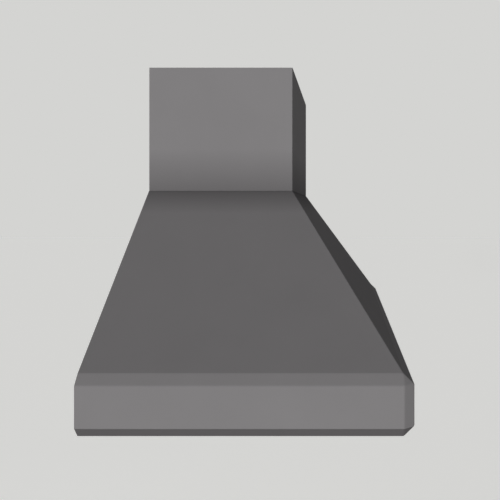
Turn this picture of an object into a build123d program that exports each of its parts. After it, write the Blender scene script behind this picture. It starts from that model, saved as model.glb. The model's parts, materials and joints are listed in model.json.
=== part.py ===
from build123d import *
import math
import os

# Wall-mounted range hood: a pyramid canopy with a lip round its foot, and a square telescopic chimney.
# Millimetres. X runs along the wall, +Y points into the wall and +Z is up. The wall is the plane y = 0,
# so every depth is counted from the wall and runs towards -Y.
# Heights are counted from the foot of the lip. At the end everything is lowered by hang_height,
# which puts the origin on the wall, in the middle of the four hanging holes.

# Canopy and chimney, outside
canopy_width = 1200.0
canopy_depth = 500.0
lip_band = 62.5
lip_edge_rise = 15.5
lip_edge_end = 13.0
lip_edge_front = 16.0
roof_rise = 281.5
chimney_width = 468.0
chimney_depth = 291.0
hood_height = 625.0

# Sheet metal
shell_sheet = 1.5
panel_sheet = 1.2
foot_flange = 14.0
top_flange = 12.0
seat_gap = 0.3

# Duct covers and the wall bracket of the upper one
cover_sheet = 1.2
cover_return = 20.0
slide_gap = 0.8
bracket_sheet = 2.0
bracket_height = 24.0
bracket_drop = 12.0
bracket_setback = 26.0
bracket_leg = 24.0
bracket_hole_spacing = 300.0
bracket_hole_radius = 3.25
bracket_margin = 6.0

# Hanging holes in the back panel
hang_drop = 85.0
hang_spacing_x = 400.0
hang_spacing_z = 120.0
hang_hole_radius = 4.0

# Underside pan and baffle filters
rear_strip = 30.0
side_strip = 50.0
filter_count = 3
filter_recess = 15.0
filter_thickness = 25.0
filter_gap = 4.0
filter_front_gap = 2.5
filter_bar = 14.0
filter_sheet = 1.0
ledge_reach = 12.0
baffle_count = 9
baffle_sheet = 0.8
baffle_width = 22.0
baffle_height = 13.0
magnet_size = (40.0, 9.0, 5.0)
handle_length = 90.0
handle_drop = 12.0
handle_bar = 3.0
handle_depth = 9.0

# Filter hinges
hinge_setback = 7.0
hinge_reach = 8.0
hinge_radius = 3.5
hinge_width = 12.0
hinge_plate = 1.5
hinge_plate_rise = 14.0
hinge_inset = 70.0
lug_width = 3.0
lug_gap = 0.5
filter_pin_radius = 2.0

# Fits
tight_fit = 0.02
running_fit = 0.05

# How far a cut runs past the face that it opens
cut_margin = 1.0

# Blower plate, duct collar and damper
plate_sheet = 1.5
plate_gap = 0.5
duct_axis_depth = 165.0
duct_radius = 75.0
collar_wall = 1.2
collar_rise = 60.0
collar_flange = 15.0
collar_screws = 4
damper_seat_rise = 14.0
damper_seat_reach = 5.0
flap_sheet = 1.2
flap_gap = 0.6
flap_setback = 4.2
damper_pin_radius = 2.0
damper_knuckle_radius = 3.6
rear_knuckle_length = 50.0
front_knuckle_length = 20.0
front_knuckle_offset = 45.0

# Blower
impeller_radius = 80.0
impeller_side_gap = 6.0
impeller_blades = 32
blade_depth = 12.0
blade_sheet = 1.2
blade_tilt = 35.0
impeller_disc = 2.0
impeller_rim = 3.0
hub_radius = 11.0
hub_length = 22.0
shaft_radius = 4.0
shaft_overlap = 40.0
volute_width = 146.0
volute_sheet = 1.0
volute_lip = 3.0
scroll_gap = 12.0
scroll_growth = 13.0
neck_rise = 22.0
neck_flange = 14.0
inlet_radius = 66.0
inlet_ring_width = 9.0
inlet_ring_rise = 8.0
motor_radius = 46.0
motor_length = 96.0
motor_edge = 4.0
motor_gap = 14.0
cradle_sheet = 3.0
cradle_grip = 4.0
cradle_length = 26.0
cradle_foot = 11.0
cradle_arm_overlap = 3.0
cradle_arms = 3
cradle_arm_width = 10.0

# Electrical pieces inside the canopy
box_size = (120.0, 48.0, 76.0)
box_offset = 300.0
box_height = 118.0
box_wall = 2.0
box_lid = 2.0
box_post = 4.5
box_post_inset = 6.0
box_screw = 14.0
terminal_size = (70.0, 18.0, 20.0)
terminal_count = 6
terminal_well_radius = 3.5
terminal_well_depth = 9.0
gland_offset = 190.0
gland_plate_margin = 18.0
gland_radius = 8.0
gland_bore = 4.5
gland_flange = 12.0
gland_flange_rise = 5.0
gland_length = 26.0
capacitor_radius = 16.0
capacitor_length = 62.0
capacitor_edge = 2.0
capacitor_offset = 150.0
capacitor_depth = 60.0
capacitor_stud = 4.0
capacitor_stud_tail = 2.0
capacitor_nut_radius = 7.5
capacitor_nut_rise = 6.0
nut_sides = 6
driver_size = (110.0, 25.0, 40.0)
driver_edge = 4.0
driver_offset = 300.0
driver_height = 130.0

# Leads inside the canopy
lead_radius = 2.5
lead_gap = 0.3
lead_bend = 15.0
lead_run = 40.0
lead_strip_offset = 560.0
lead_front_margin = 9.0
lead_rim_clearance = 20.0

# Lamps in the front strip of the pan
lamp_spacing = 700.0
lamp_bezel_radius = 32.0
lamp_hole_radius = 28.0
lamp_body_gap = 0.5
lamp_body_rise = 30.0
lamp_lens_radius = 24.0
lamp_fin_count = 5
lamp_fin_depth = 3.0
lamp_margin = 3.0

# Controls on the lip
button_count = 5
button_pitch = 26.0
button_radius = 7.0
button_gap = 0.25
button_proud = 1.5
button_edge = 0.75
button_flange = 1.6
button_flange_sheet = 1.2
button_stem = 2.5
button_travel = 2.0
bezel_sheet = 1.5
bezel_margin = 22.0
bezel_height = 34.0
bezel_corner = 4.0
switch_box_wall = 1.6
switch_box_depth = 28.0
switch_box_margin = 6.0
board_setback = 16.0
board_sheet = 1.6
switch_size = 10.0
switch_floor = 0.8
switch_entry = 1.4
switch_spare = 0.8

# Pan-head screws
screw_radius = 2.0
screw_head_radius = 3.8
screw_head_rise = 2.4
screw_hole_gap = 0.1
screw_tail = 4.0

# Heights that follow from the sizes above
lip_low = lip_edge_rise
lip_high = lip_low + lip_band
lip_middle = (lip_low + lip_high) / 2
roof_foot = lip_high + lip_edge_rise
roof_top = roof_foot + roof_rise
chimney_top = hood_height
hang_height = roof_top - hang_drop
plate_top = roof_top - shell_sheet
plate_under = plate_top - plate_sheet
pan_top = shell_sheet + panel_sheet
filter_floor = shell_sheet + filter_recess
filter_top = filter_floor + filter_thickness
ledge_under = filter_top + seat_gap

# Level sections of the canopy's outside, from the foot to the chimney: height, half width, depth, and how
# much of the lip's slanted upright corner is there
canopy_levels = [
    (0.0, canopy_width / 2 - lip_edge_end, canopy_depth - lip_edge_front, 0.0),
    (lip_low, canopy_width / 2, canopy_depth, 1.0),
    (lip_high, canopy_width / 2, canopy_depth, 1.0),
    (roof_foot, canopy_width / 2 - lip_edge_end, canopy_depth - lip_edge_front, 0.0),
    (roof_top, chimney_width / 2, chimney_depth, 0.0),
]

# Filter field in the pan, behind the strip that holds the lamps
opening_half = canopy_width / 2 - lip_edge_end - side_strip
lamp_front = canopy_depth - lip_edge_front - foot_flange - lamp_margin
lamp_depth = lamp_front - lamp_bezel_radius
opening_front = lamp_depth - lamp_bezel_radius - lamp_margin - panel_sheet
hinge_depth = rear_strip + hinge_setback
filter_rear = hinge_depth + hinge_reach
filter_front = opening_front - filter_front_gap
filter_depth = filter_front - filter_rear
filter_pitch = (2 * opening_half - filter_gap) / filter_count
filter_width = filter_pitch - filter_gap
filter_centres = [filter_pitch * (i - (filter_count - 1) / 2) for i in range(filter_count)]

# Scroll of the blower, seen from its side: depth from the wall and height
scroll_start = impeller_radius + scroll_gap
scroll_end = scroll_start + 2 * scroll_growth
neck_depth = 2 * (duct_radius - collar_wall) + 2 * volute_sheet
scroll_depth = duct_axis_depth + neck_depth / 2 - scroll_end - scroll_growth
scroll_height = plate_under - neck_rise - scroll_start
impeller_depth = scroll_depth + scroll_growth / 2
impeller_height = scroll_height + scroll_growth / 2
impeller_width = volute_width - 2 * impeller_side_gap
side_face = volute_width / 2 + volute_sheet
motor_end = -motor_gap

# Damper
collar_inner = duct_radius - collar_wall
damper_seat = plate_top + damper_seat_rise
damper_pin_height = damper_seat + flap_sheet / 2

# Controls
button_xs = [button_pitch * (i - (button_count - 1) / 2) for i in range(button_count)]
lip_face = -canopy_depth
lip_inside = lip_face + shell_sheet
bezel_half = button_xs[-1] + bezel_margin
switch_box_half = bezel_half + switch_box_margin
switch_box_half_height = bezel_height / 2 + switch_box_margin
board_face = lip_inside + board_setback
switch_face = board_face - switch_floor - switch_spare - button_travel - switch_entry

# Lamps
lamp_places = [(-lamp_spacing / 2, -lamp_depth), (lamp_spacing / 2, -lamp_depth)]

# Plane of the blower's side view: its x is the depth from the wall, its y the height
side_view = Plane(origin=(0, 0, 0), x_dir=(0, -1, 0), z_dir=(-1, 0, 0))


# Shapes used by many pieces

def block(x_span, y_span, z_span):
    """Box between a low and a high limit along each axis."""
    spans = (x_span, y_span, z_span)
    middle = [(low + high) / 2 for low, high in spans]
    size = [high - low for low, high in spans]
    return Pos(*middle) * Box(*size)


def rod_x(radius, x_span, y, z):
    """Cylinder along X."""
    low, high = x_span
    return Pos((low + high) / 2, y, z) * Rot(0, 90, 0) * Cylinder(radius, high - low)


def rod_y(radius, x, y_span, z):
    """Cylinder along Y."""
    low, high = y_span
    return Pos(x, (low + high) / 2, z) * Rot(90, 0, 0) * Cylinder(radius, high - low)


def rod_z(radius, x, y, z_span):
    """Cylinder along Z."""
    low, high = z_span
    return Pos(x, y, (low + high) / 2) * Cylinder(radius, high - low)


def section(z, inset=0.0):
    """Level section of the canopy's outside at a height, drawn in by an inset."""
    for low, high in zip(canopy_levels, canopy_levels[1:]):
        if z <= high[0]:
            share = (z - low[0]) / (high[0] - low[0])
            half, depth, corner = [a + share * (b - a) for a, b in zip(low[1:], high[1:])]
            return z, half - inset, depth - inset, corner
    raise ValueError("the canopy ends below that height")


def outline(z, inset=0.0):
    """Half width and depth of the canopy's outside at a height, drawn in by an inset."""
    return section(z, inset)[1:3]


def flat_face(points):
    """Flat face round a list of points, of which neighbours may be the same."""
    corners = [point for i, point in enumerate(points) if point != points[i - 1]]
    return Face(Wire.make_polygon(corners))


def stack(sections, back=0.0):
    """Closed flat-sided solid through level sections, whose front corners are cut by the lip's slant."""
    rings = []
    for z, half, depth, corner in sections:
        cut_half = half - corner * lip_edge_end
        cut_depth = depth - corner * lip_edge_front
        left = [(-half, back, z), (-half, -cut_depth, z), (-cut_half, -depth, z)]
        rings.append(left + [(-x, y, height) for x, y, height in reversed(left)])
    faces = [flat_face(rings[0]), flat_face(rings[-1])]
    for low, high in zip(rings, rings[1:]):
        for i in range(len(low)):
            quad = [low[i - 1], low[i], high[i], high[i - 1]]
            if len(set(quad)) > 2:
                faces.append(flat_face(quad))
    return Solid(Shell(faces))


def screw(length):
    """Pan-head screw with its head's seat at the origin, its shank running down -Z."""
    head = rod_z(screw_head_radius, 0, 0, (0, screw_head_rise))
    shank = rod_z(screw_radius, 0, 0, (-length, 0))
    return head + shank


def screw_hole(x, y, z_span):
    """Upright clearance hole for a screw."""
    return rod_z(screw_radius + screw_hole_gap, x, y, z_span)


# Canopy

def canopy_shell():
    """Folded sheet of the lip and roof, open at the wall, with flanges turned in at the foot and the top."""
    outer = stack(canopy_levels)
    inner_heights = (shell_sheet, lip_low, lip_high, roof_foot, plate_top)
    hollow = stack([section(z, shell_sheet) for z in inner_heights], back=shell_sheet)
    foot_half, foot_depth = outline(0, foot_flange)
    foot = block((-foot_half, foot_half), (-foot_depth, shell_sheet), (-shell_sheet, 2 * shell_sheet))
    top_half, top_depth = outline(roof_top, top_flange)
    top = block((-top_half, top_half), (-top_depth, shell_sheet), (plate_under, roof_top + shell_sheet))
    shell = outer - hollow - foot - top
    hole_y = (lip_face - cut_margin, lip_inside + cut_margin)
    for x in button_xs:
        shell -= rod_y(button_radius + button_gap, x, hole_y, lip_middle)
    return shell


def back_panel():
    """Flat sheet against the wall between the canopy's ends, with a foot flange and the hanging holes."""
    heights = (shell_sheet, lip_low, lip_high, roof_foot, plate_top)
    sheet = stack([(z, outline(z, shell_sheet)[0], panel_sheet, 0.0) for z in heights])
    foot_half = outline(0, foot_flange)[0]
    panel = sheet + block((-foot_half, foot_half), (-foot_flange, 0), (0, shell_sheet))
    for x in (-hang_spacing_x / 2, hang_spacing_x / 2):
        for z in (hang_height - hang_spacing_z / 2, hang_height + hang_spacing_z / 2):
            panel -= rod_y(hang_hole_radius, x, (-2 * panel_sheet, panel_sheet), z)
    return panel


def underside_pan():
    """Sheet that closes the foot, with an upright rim round the filter opening and a ledge at its front."""
    foot = section(shell_sheet, shell_sheet + seat_gap)
    sheet = stack([foot, (pan_top, *foot[1:])], back=-panel_sheet - seat_gap)
    rim_half = opening_half + panel_sheet
    rim_y = (-opening_front - panel_sheet, -rear_strip + panel_sheet)
    rim = block((-rim_half, rim_half), rim_y, (shell_sheet, ledge_under + panel_sheet))
    opening_y = (-opening_front, -rear_strip)
    opening = block((-opening_half, opening_half), opening_y, (0, ledge_under + 2 * panel_sheet))
    ledge_y = (-opening_front, -opening_front + ledge_reach)
    ledge = block((-opening_half, opening_half), ledge_y, (ledge_under, ledge_under + panel_sheet))
    pan = sheet + rim - opening + ledge
    for x, y in lamp_places:
        pan -= rod_z(lamp_hole_radius, x, y, (0, 2 * pan_top))
    return pan


# Chimney

def duct_cover(inset):
    """Three-sided square cover with two returns along the wall, drawn in by an inset."""
    half = chimney_width / 2 - inset
    front = -chimney_depth + inset
    span_z = (roof_top, chimney_top)
    cut_z = (roof_top - cover_sheet, chimney_top + cover_sheet)
    body = block((-half, half), (front, -inset), span_z)
    inner = half - cover_sheet
    hollow = block((-inner, inner), (front + cover_sheet, -inset - cover_sheet), cut_z)
    window_half = half - cover_return
    window = block((-window_half, window_half), (-inset - 2 * cover_sheet, cover_sheet), cut_z)
    return body - hollow - window


upper_inset = cover_sheet + slide_gap
upper_inside = chimney_width / 2 - upper_inset - cover_sheet
bracket_half = chimney_width / 2 - upper_inset - cover_return - bracket_margin
bracket_top = chimney_top - bracket_drop
bracket_z = (bracket_top - bracket_height, bracket_top)
bracket_middle = bracket_top - bracket_height / 2
bracket_screw_depth = bracket_setback + bracket_leg / 2


def duct_cover_bracket():
    """Strip on the wall whose stepped ends reach the inside of the upper cover."""
    bracket = block((-bracket_half, bracket_half), (-bracket_sheet, 0), bracket_z)
    for side in (-1, 1):
        web_x = sorted((side * (bracket_half - bracket_sheet), side * bracket_half))
        bracket += block(web_x, (-bracket_setback, 0), bracket_z)
        step_x = sorted((side * (bracket_half - bracket_sheet), side * upper_inside))
        bracket += block(step_x, (-bracket_setback, -bracket_setback + bracket_sheet), bracket_z)
        leg_x = sorted((side * (upper_inside - bracket_sheet), side * upper_inside))
        bracket += block(leg_x, (-bracket_setback - bracket_leg, -bracket_setback), bracket_z)
        hole_x = side * bracket_hole_spacing / 2
        bracket -= rod_y(bracket_hole_radius, hole_x, (-2 * bracket_sheet, bracket_sheet), bracket_middle)
    return bracket - bracket_screw_holes()


def bracket_screw_holes():
    """Clearance holes for the two screws that hold the upper cover to its bracket."""
    reach = upper_inside + 2 * cover_sheet
    return rod_x(screw_radius + screw_hole_gap, (-reach, reach), -bracket_screw_depth, bracket_middle)


def bracket_screws():
    """One screw on each side, driven outwards through the bracket into the upper cover."""
    length = bracket_sheet + cover_sheet
    head = upper_inside - bracket_sheet
    right = Pos(head, -bracket_screw_depth, bracket_middle) * Rot(0, -90, 0) * screw(length)
    left = Pos(-head, -bracket_screw_depth, bracket_middle) * Rot(0, 90, 0) * screw(length)
    return Compound([left, right])


# Blower plate, collar and damper

collar_screw_circle = duct_radius + collar_flange / 2
collar_screw_angles = [360 / collar_screws * (i + 0.5) for i in range(collar_screws)]
collar_screw_places = [
    (
        collar_screw_circle * math.cos(math.radians(angle)),
        -duct_axis_depth + collar_screw_circle * math.sin(math.radians(angle)),
    )
    for angle in collar_screw_angles
]
neck_screw_x = side_face + neck_flange / 2
neck_screw_y = neck_depth / 2 - neck_flange / 2
neck_screw_places = [
    (x, -duct_axis_depth + y)
    for x in (-neck_screw_x, neck_screw_x)
    for y in (-neck_screw_y, neck_screw_y)
]


plate_half, plate_depth = outline(plate_top, shell_sheet + plate_gap)
plate_y = (-plate_depth, -panel_sheet - plate_gap)
plate_z = (plate_under, plate_top)
plate_cut_z = (plate_under - cut_margin, plate_top + cut_margin)
plate_split = -gland_offset + gland_plate_margin


def blower_plate():
    """Level sheet under the canopy's top flange that carries the blower and the collar."""
    plate = block((plate_split, plate_half), plate_y, plate_z)
    plate -= rod_z(collar_inner, 0, -duct_axis_depth, plate_cut_z)
    plate -= rod_z(capacitor_stud + tight_fit, capacitor_offset, -capacitor_depth, plate_cut_z)
    for x, y in collar_screw_places + neck_screw_places:
        plate -= screw_hole(x, y, plate_cut_z)
    return plate


def gland_plate():
    """Strip beside the blower plate that carries the cable gland, so that it can be taken out by itself."""
    plate = block((-plate_half, plate_split), plate_y, plate_z)
    return plate - rod_z(gland_radius + tight_fit, -gland_offset, -duct_axis_depth, plate_cut_z)


def duct_collar():
    """Round spigot for the duct, with a foot flange, a seat for the flaps and holes for their pin."""
    y = -duct_axis_depth
    collar = rod_z(duct_radius, 0, y, (plate_top, plate_top + collar_rise))
    collar += rod_z(duct_radius + collar_flange, 0, y, (plate_top, plate_top + collar_wall))
    collar -= rod_z(collar_inner, 0, y, (plate_top - collar_wall, plate_top + collar_rise + collar_wall))
    seat_z = (damper_seat - collar_wall, damper_seat)
    seat = rod_z(collar_inner, 0, y, seat_z) - rod_z(collar_inner - damper_seat_reach, 0, y, seat_z)
    collar += seat
    reach = 2 * duct_radius
    collar -= rod_x(damper_pin_radius + tight_fit, (-reach, reach), y, damper_pin_height)
    for x, screw_y in collar_screw_places:
        collar -= screw_hole(x, screw_y, (plate_under, plate_top + 2 * collar_wall))
    return collar


def damper_pin():
    """Pin across the collar that both flaps turn on."""
    half = duct_radius - flap_gap
    return rod_x(damper_pin_radius, (-half, half), -duct_axis_depth, damper_pin_height)


def damper_flap(side, knuckles):
    """Half disc on one side of the pin, with tubes round the pin at the given spans along X."""
    y = -duct_axis_depth
    flap_z = (damper_seat, damper_seat + flap_sheet)
    disc = rod_z(collar_inner - flap_gap, 0, y, flap_z)
    near = sorted((y + side * flap_setback, y + side * 2 * duct_radius))
    flap = disc & block((-duct_radius, duct_radius), near, flap_z)
    for span in knuckles:
        arm_y = sorted((y, y + side * 2 * flap_setback))
        flap += block(span, arm_y, flap_z)
        flap += rod_x(damper_knuckle_radius, span, y, damper_pin_height)
    reach = 2 * duct_radius
    return flap - rod_x(damper_pin_radius + running_fit, (-reach, reach), y, damper_pin_height)


def front_damper_flap():
    """Flap on the room side, with a tube near each end of the pin."""
    half = front_knuckle_length / 2
    places = (-front_knuckle_offset, front_knuckle_offset)
    return damper_flap(-1, [(x - half, x + half) for x in places])


def rear_damper_flap():
    """Flap on the wall side, with one tube in the middle of the pin."""
    half = rear_knuckle_length / 2
    return damper_flap(1, [(-half, half)])


# Blower

def scroll(inset, top):
    """Outline of the scroll and its neck in the side view, drawn in by an inset."""
    left = duct_axis_depth - neck_depth / 2 + inset
    right = duct_axis_depth + neck_depth / 2 - inset
    start = scroll_start - inset
    tongue = math.degrees(math.acos((left - scroll_depth) / start))
    tongue_height = scroll_height + start * math.sin(math.radians(tongue))
    shifted = scroll_depth + scroll_growth
    rear = CenterArc((scroll_depth, scroll_height), start, tongue, 180 - tongue)
    under = CenterArc((shifted, scroll_height), start + scroll_growth, 180, 90)
    front = CenterArc((shifted, scroll_height + scroll_growth), start + 2 * scroll_growth, 270, 90)
    neck = Polyline(
        (right, scroll_height + scroll_growth),
        (right, top),
        (left, top),
        (left, tongue_height),
    )
    return make_face([rear, under, front, neck])


def scroll_slab(inset, top, x_span):
    """Scroll outline given a thickness along X."""
    low, high = x_span
    slab = extrude(side_view * scroll(inset, top), amount=high - low)
    return Pos(high, 0, 0) * slab


def volute_band():
    """Scroll wrapper between the two sides, with a flange round the top of its neck."""
    half = volute_width / 2
    outer = scroll_slab(0, plate_under, (-half, half))
    hollow = scroll_slab(volute_sheet, plate_under + volute_sheet, (-half, half))
    flange_half = side_face + neck_flange
    flange_y = [-duct_axis_depth + side * (neck_depth / 2 + neck_flange) for side in (-1, 1)]
    flange = block((-flange_half, flange_half), flange_y, (plate_under - volute_sheet, plate_under))
    band = outer + flange - hollow
    for x, y in neck_screw_places:
        band -= screw_hole(x, y, (plate_under - 2 * volute_sheet, plate_top))
    return band


def volute_side(x_span):
    """Side of the blower housing with its round inlet, standing a little proud of the band."""
    low, high = x_span
    side = scroll_slab(-volute_lip, plate_under - volute_sheet, x_span)
    inlet_x = (low - cut_margin, high + cut_margin)
    return side - rod_x(inlet_radius, inlet_x, -impeller_depth, impeller_height)


def volute_left_side():
    """Side that carries the motor cradle on three screws."""
    inside = -volute_width / 2
    side = volute_side((-side_face, inside))
    for y, z in cradle_screw_places:
        side -= rod_x(screw_radius + screw_hole_gap, (-side_face - cut_margin, inside + cut_margin), y, z)
    return side


def volute_right_side():
    """Side with the free inlet."""
    return volute_side((volute_width / 2, side_face))


def inlet_ring():
    """Bell mouth round the free inlet."""
    y, z = -impeller_depth, impeller_height
    face = side_face
    ring = rod_x(inlet_radius + inlet_ring_width, (face, face + volute_sheet), y, z)
    mouth = rod_x(inlet_radius + volute_sheet, (face, face + inlet_ring_rise), y, z)
    bore_x = (face - cut_margin, face + inlet_ring_rise + cut_margin)
    return ring + mouth - rod_x(inlet_radius, bore_x, y, z)


cradle_screw_circle = inlet_radius + cradle_foot / 2
cradle_angles = [90 + 360 / cradle_arms * i for i in range(cradle_arms)]
cradle_screw_places = [
    (
        -impeller_depth + cradle_screw_circle * math.cos(math.radians(angle)),
        impeller_height + cradle_screw_circle * math.sin(math.radians(angle)),
    )
    for angle in cradle_angles
]


def motor_cradle():
    """Ring on the left side whose arms cross the inlet to a sleeve round the motor."""
    y, z = -impeller_depth, impeller_height
    plate_x = (-side_face - cradle_sheet, -side_face)
    sleeve_radius = motor_radius + cradle_grip
    foot = rod_x(inlet_radius + cradle_foot, plate_x, y, z) - rod_x(inlet_radius, plate_x, y, z)
    sleeve = rod_x(sleeve_radius, (-side_face - cradle_length, -side_face), y, z)
    arm_length = inlet_radius + cradle_arm_overlap
    arm = block(plate_x, (0, arm_length), (-cradle_arm_width / 2, cradle_arm_width / 2))
    arms = [Pos(0, y, z) * Rot(angle, 0, 0) * arm for angle in cradle_angles]
    cradle = foot + sleeve + arms
    cradle -= rod_x(motor_radius + tight_fit, (-2 * side_face, 0), y, z)
    for screw_y, screw_z in cradle_screw_places:
        cradle -= rod_x(screw_radius + screw_hole_gap, (-2 * side_face, 0), screw_y, screw_z)
    return cradle


def motor_can():
    """Round motor that reaches into the impeller, with a blind bearing bore for the shaft."""
    y, z = -impeller_depth, impeller_height
    can = rod_x(motor_radius, (motor_end - motor_length, motor_end), y, z)
    rim = can.edges().filter_by(GeomType.CIRCLE)
    can = fillet(rim, motor_edge)
    bore_depth = shaft_overlap + shaft_radius
    return can - rod_x(shaft_radius + running_fit, (motor_end - bore_depth, motor_end + cut_margin), y, z)


def motor_shaft():
    """Shaft from the motor's bearing through the impeller's hub."""
    return rod_x(shaft_radius, (motor_end - shaft_overlap, hub_length), -impeller_depth, impeller_height)


def impeller():
    """Squirrel-cage wheel: a middle disc with a hub, tilted blades and a ring at each end."""
    half = impeller_width / 2
    inner = impeller_radius - blade_depth
    wheel = rod_x(impeller_radius - blade_sheet, (-impeller_disc / 2, impeller_disc / 2), 0, 0)
    wheel += rod_x(hub_radius, (-impeller_disc / 2, hub_length), 0, 0)
    blade_place = Pos(0, inner + blade_depth / 2, 0) * Rot(blade_tilt, 0, 0)
    blade = blade_place * Box(impeller_width, blade_depth, blade_sheet)
    wheel += [Rot(360 / impeller_blades * i, 0, 0) * blade for i in range(impeller_blades)]
    for low, high in ((-half, -half + impeller_rim), (half - impeller_rim, half)):
        wheel += rod_x(impeller_radius, (low, high), 0, 0) - rod_x(inner + blade_sheet, (low, high), 0, 0)
    wheel -= rod_x(shaft_radius + tight_fit, (-half, half), 0, 0)
    return Pos(0, -impeller_depth, impeller_height) * wheel


# Electrical pieces

box_screw_z = box_height + box_size[2] / 2
box_screw_x = [-box_offset + side * (box_size[0] / 2 - box_post_inset) for side in (-1, 1)]
lid_face = -panel_sheet - box_size[1] - box_lid


def junction_box():
    """Open box on the back panel, with two posts for the lid's screws."""
    width, depth, height = box_size
    x = (-box_offset - width / 2, -box_offset + width / 2)
    z = (box_height, box_height + height)
    back = -panel_sheet
    outer = block(x, (back - depth, back), z)
    inner_x = (x[0] + box_wall, x[1] - box_wall)
    inner_z = (z[0] + box_wall, z[1] - box_wall)
    box = outer - block(inner_x, (back - depth - box_wall, back - box_wall), inner_z)
    hole_y = (lid_face, lid_face + box_screw + box_lid)
    for screw_x in box_screw_x:
        box += rod_y(box_post, screw_x, (back - depth, back), box_screw_z)
        box -= rod_y(screw_radius + screw_hole_gap, screw_x, hole_y, box_screw_z)
    return box


def junction_box_lid():
    """Flat lid on the box's front."""
    width, depth, height = box_size
    face = -panel_sheet - depth
    lid_x = (-box_offset - width / 2, -box_offset + width / 2)
    lid = block(lid_x, (lid_face, face), (box_height, box_height + height))
    hole_y = (lid_face - cut_margin, face + cut_margin)
    for screw_x in box_screw_x:
        lid -= rod_y(screw_radius + screw_hole_gap, screw_x, hole_y, box_screw_z)
    return lid


def terminal_block():
    """Row of terminals on the box's floor, with a screw well over each terminal."""
    width, depth, height = terminal_size
    base = -panel_sheet - box_wall
    face = base - depth
    z = box_height + box_size[2] / 2
    body_x = (-box_offset - width / 2, -box_offset + width / 2)
    body = block(body_x, (face, base), (z - height / 2, z + height / 2))
    well_y = (face - cut_margin, face + terminal_well_depth)
    for i in range(terminal_count):
        x = body_x[0] + width / terminal_count * (i + 0.5)
        body -= rod_y(terminal_well_radius, x, well_y, z)
    return body


def cable_gland():
    """Bush through the gland plate that the mains lead comes in by, with a flange above the plate."""
    y = -duct_axis_depth
    top = plate_top + gland_flange_rise
    gland = rod_z(gland_radius, -gland_offset, y, (top - gland_length, top))
    gland += rod_z(gland_flange, -gland_offset, y, (plate_top, top))
    return gland - rod_z(gland_bore, -gland_offset, y, (top - 2 * gland_length, top + gland_length))


def capacitor():
    """Motor capacitor that hangs from the blower plate by its stud."""
    low = plate_under - capacitor_length
    can = rod_z(capacitor_radius, capacitor_offset, -capacitor_depth, (low, plate_under))
    can = fillet(can.edges().filter_by(GeomType.CIRCLE).sort_by(Axis.Z)[0], capacitor_edge)
    stud_z = (plate_under, plate_top + capacitor_nut_rise + capacitor_stud_tail)
    return can + rod_z(capacitor_stud, capacitor_offset, -capacitor_depth, stud_z)


def capacitor_nut():
    """Hexagon nut on the capacitor's stud."""
    nut = extrude(RegularPolygon(capacitor_nut_radius, nut_sides), amount=capacitor_nut_rise)
    nut -= rod_z(capacitor_stud + tight_fit, 0, 0, (-cut_margin, capacitor_nut_rise + cut_margin))
    return Pos(capacitor_offset, -capacitor_depth, plate_top) * nut


def lamp_driver():
    """Supply for the lamps, on the back panel."""
    width, depth, height = driver_size
    base = -panel_sheet
    body = block(
        (driver_offset - width / 2, driver_offset + width / 2),
        (base - depth, base),
        (driver_height, driver_height + height),
    )
    return chamfer(body.edges().filter_by(Axis.Y), driver_edge)


def lead(*points):
    """Round lead along straight runs joined by bends."""
    path = FilletPolyline(*points, radius=lead_bend) if len(points) > 2 else Line(*points)
    return sweep(Plane(path @ 0, z_dir=path % 0) * Circle(lead_radius), path)


def wiring_harness():
    """Leads from the junction box to the motor, switches and lamp driver, and from that to the lamps."""
    box_right = -box_offset + box_size[0] / 2
    box_left = -box_offset - box_size[0] / 2
    box_y = -panel_sheet - box_size[1] / 2
    box_z = box_height + box_size[2] / 2
    motor_left = motor_end - motor_length
    motor_lead = lead(
        (box_right, box_y, box_z),
        (box_right + lead_run, box_y, box_z),
        (motor_left - lead_run, -impeller_depth, impeller_height),
        (motor_left, -impeller_depth, impeller_height),
    )
    driver_y = -panel_sheet - driver_size[1] / 2
    driver_z = driver_height + driver_size[2] / 2
    driver_left = driver_offset - driver_size[0] / 2
    driver_right = driver_offset + driver_size[0] / 2
    supply_lead = lead((box_right, driver_y, driver_z), (driver_left, driver_y, driver_z))
    floor = pan_top + lead_radius + lead_gap
    over_rim = ledge_under + panel_sheet + lead_rim_clearance
    front = -outline(shell_sheet)[1] + lead_front_margin
    box_side = -switch_box_half
    entry_y = lip_inside + switch_box_depth / 2
    switch_lead = lead(
        (box_left, box_y, box_z),
        (box_left - lead_run, box_y, box_z),
        (-lead_strip_offset, box_y - lead_run, over_rim),
        (-lead_strip_offset, box_y - 2 * lead_run, floor),
        (-lead_strip_offset, front, floor),
        (box_side - 2 * lead_run, front, floor),
        (box_side - lead_run, entry_y, lip_middle),
        (box_side, entry_y, lip_middle),
    )
    lamp_radius = lamp_hole_radius - lamp_body_gap
    (left_x, lamp_y), (right_x, lamp_y) = lamp_places
    right_lamp_lead = lead(
        (driver_right, driver_y, driver_z),
        (driver_right + lead_run, driver_y, driver_z),
        (lead_strip_offset, driver_y - lead_run, over_rim),
        (lead_strip_offset, driver_y - 2 * lead_run, floor),
        (lead_strip_offset, lamp_y, floor),
        (right_x + lamp_radius, lamp_y, floor),
    )
    left_lamp_lead = lead((right_x - lamp_radius, lamp_y, floor), (left_x + lamp_radius, lamp_y, floor))
    return Compound([motor_lead, supply_lead, switch_lead, right_lamp_lead, left_lamp_lead])


# Lamps

def lamp_body(x, y):
    """Finned aluminium body above the pan."""
    radius = lamp_hole_radius - lamp_body_gap
    body = rod_z(radius, x, y, (shell_sheet, shell_sheet + lamp_body_rise))
    pitch = (lamp_body_rise - panel_sheet) / (lamp_fin_count + 1)
    for i in range(lamp_fin_count):
        low = pan_top + pitch * (i + 0.5)
        groove_z = (low, low + pitch / 2)
        groove = rod_z(radius + cut_margin, x, y, groove_z)
        body -= groove - rod_z(radius - lamp_fin_depth, x, y, groove_z)
    return body


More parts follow.
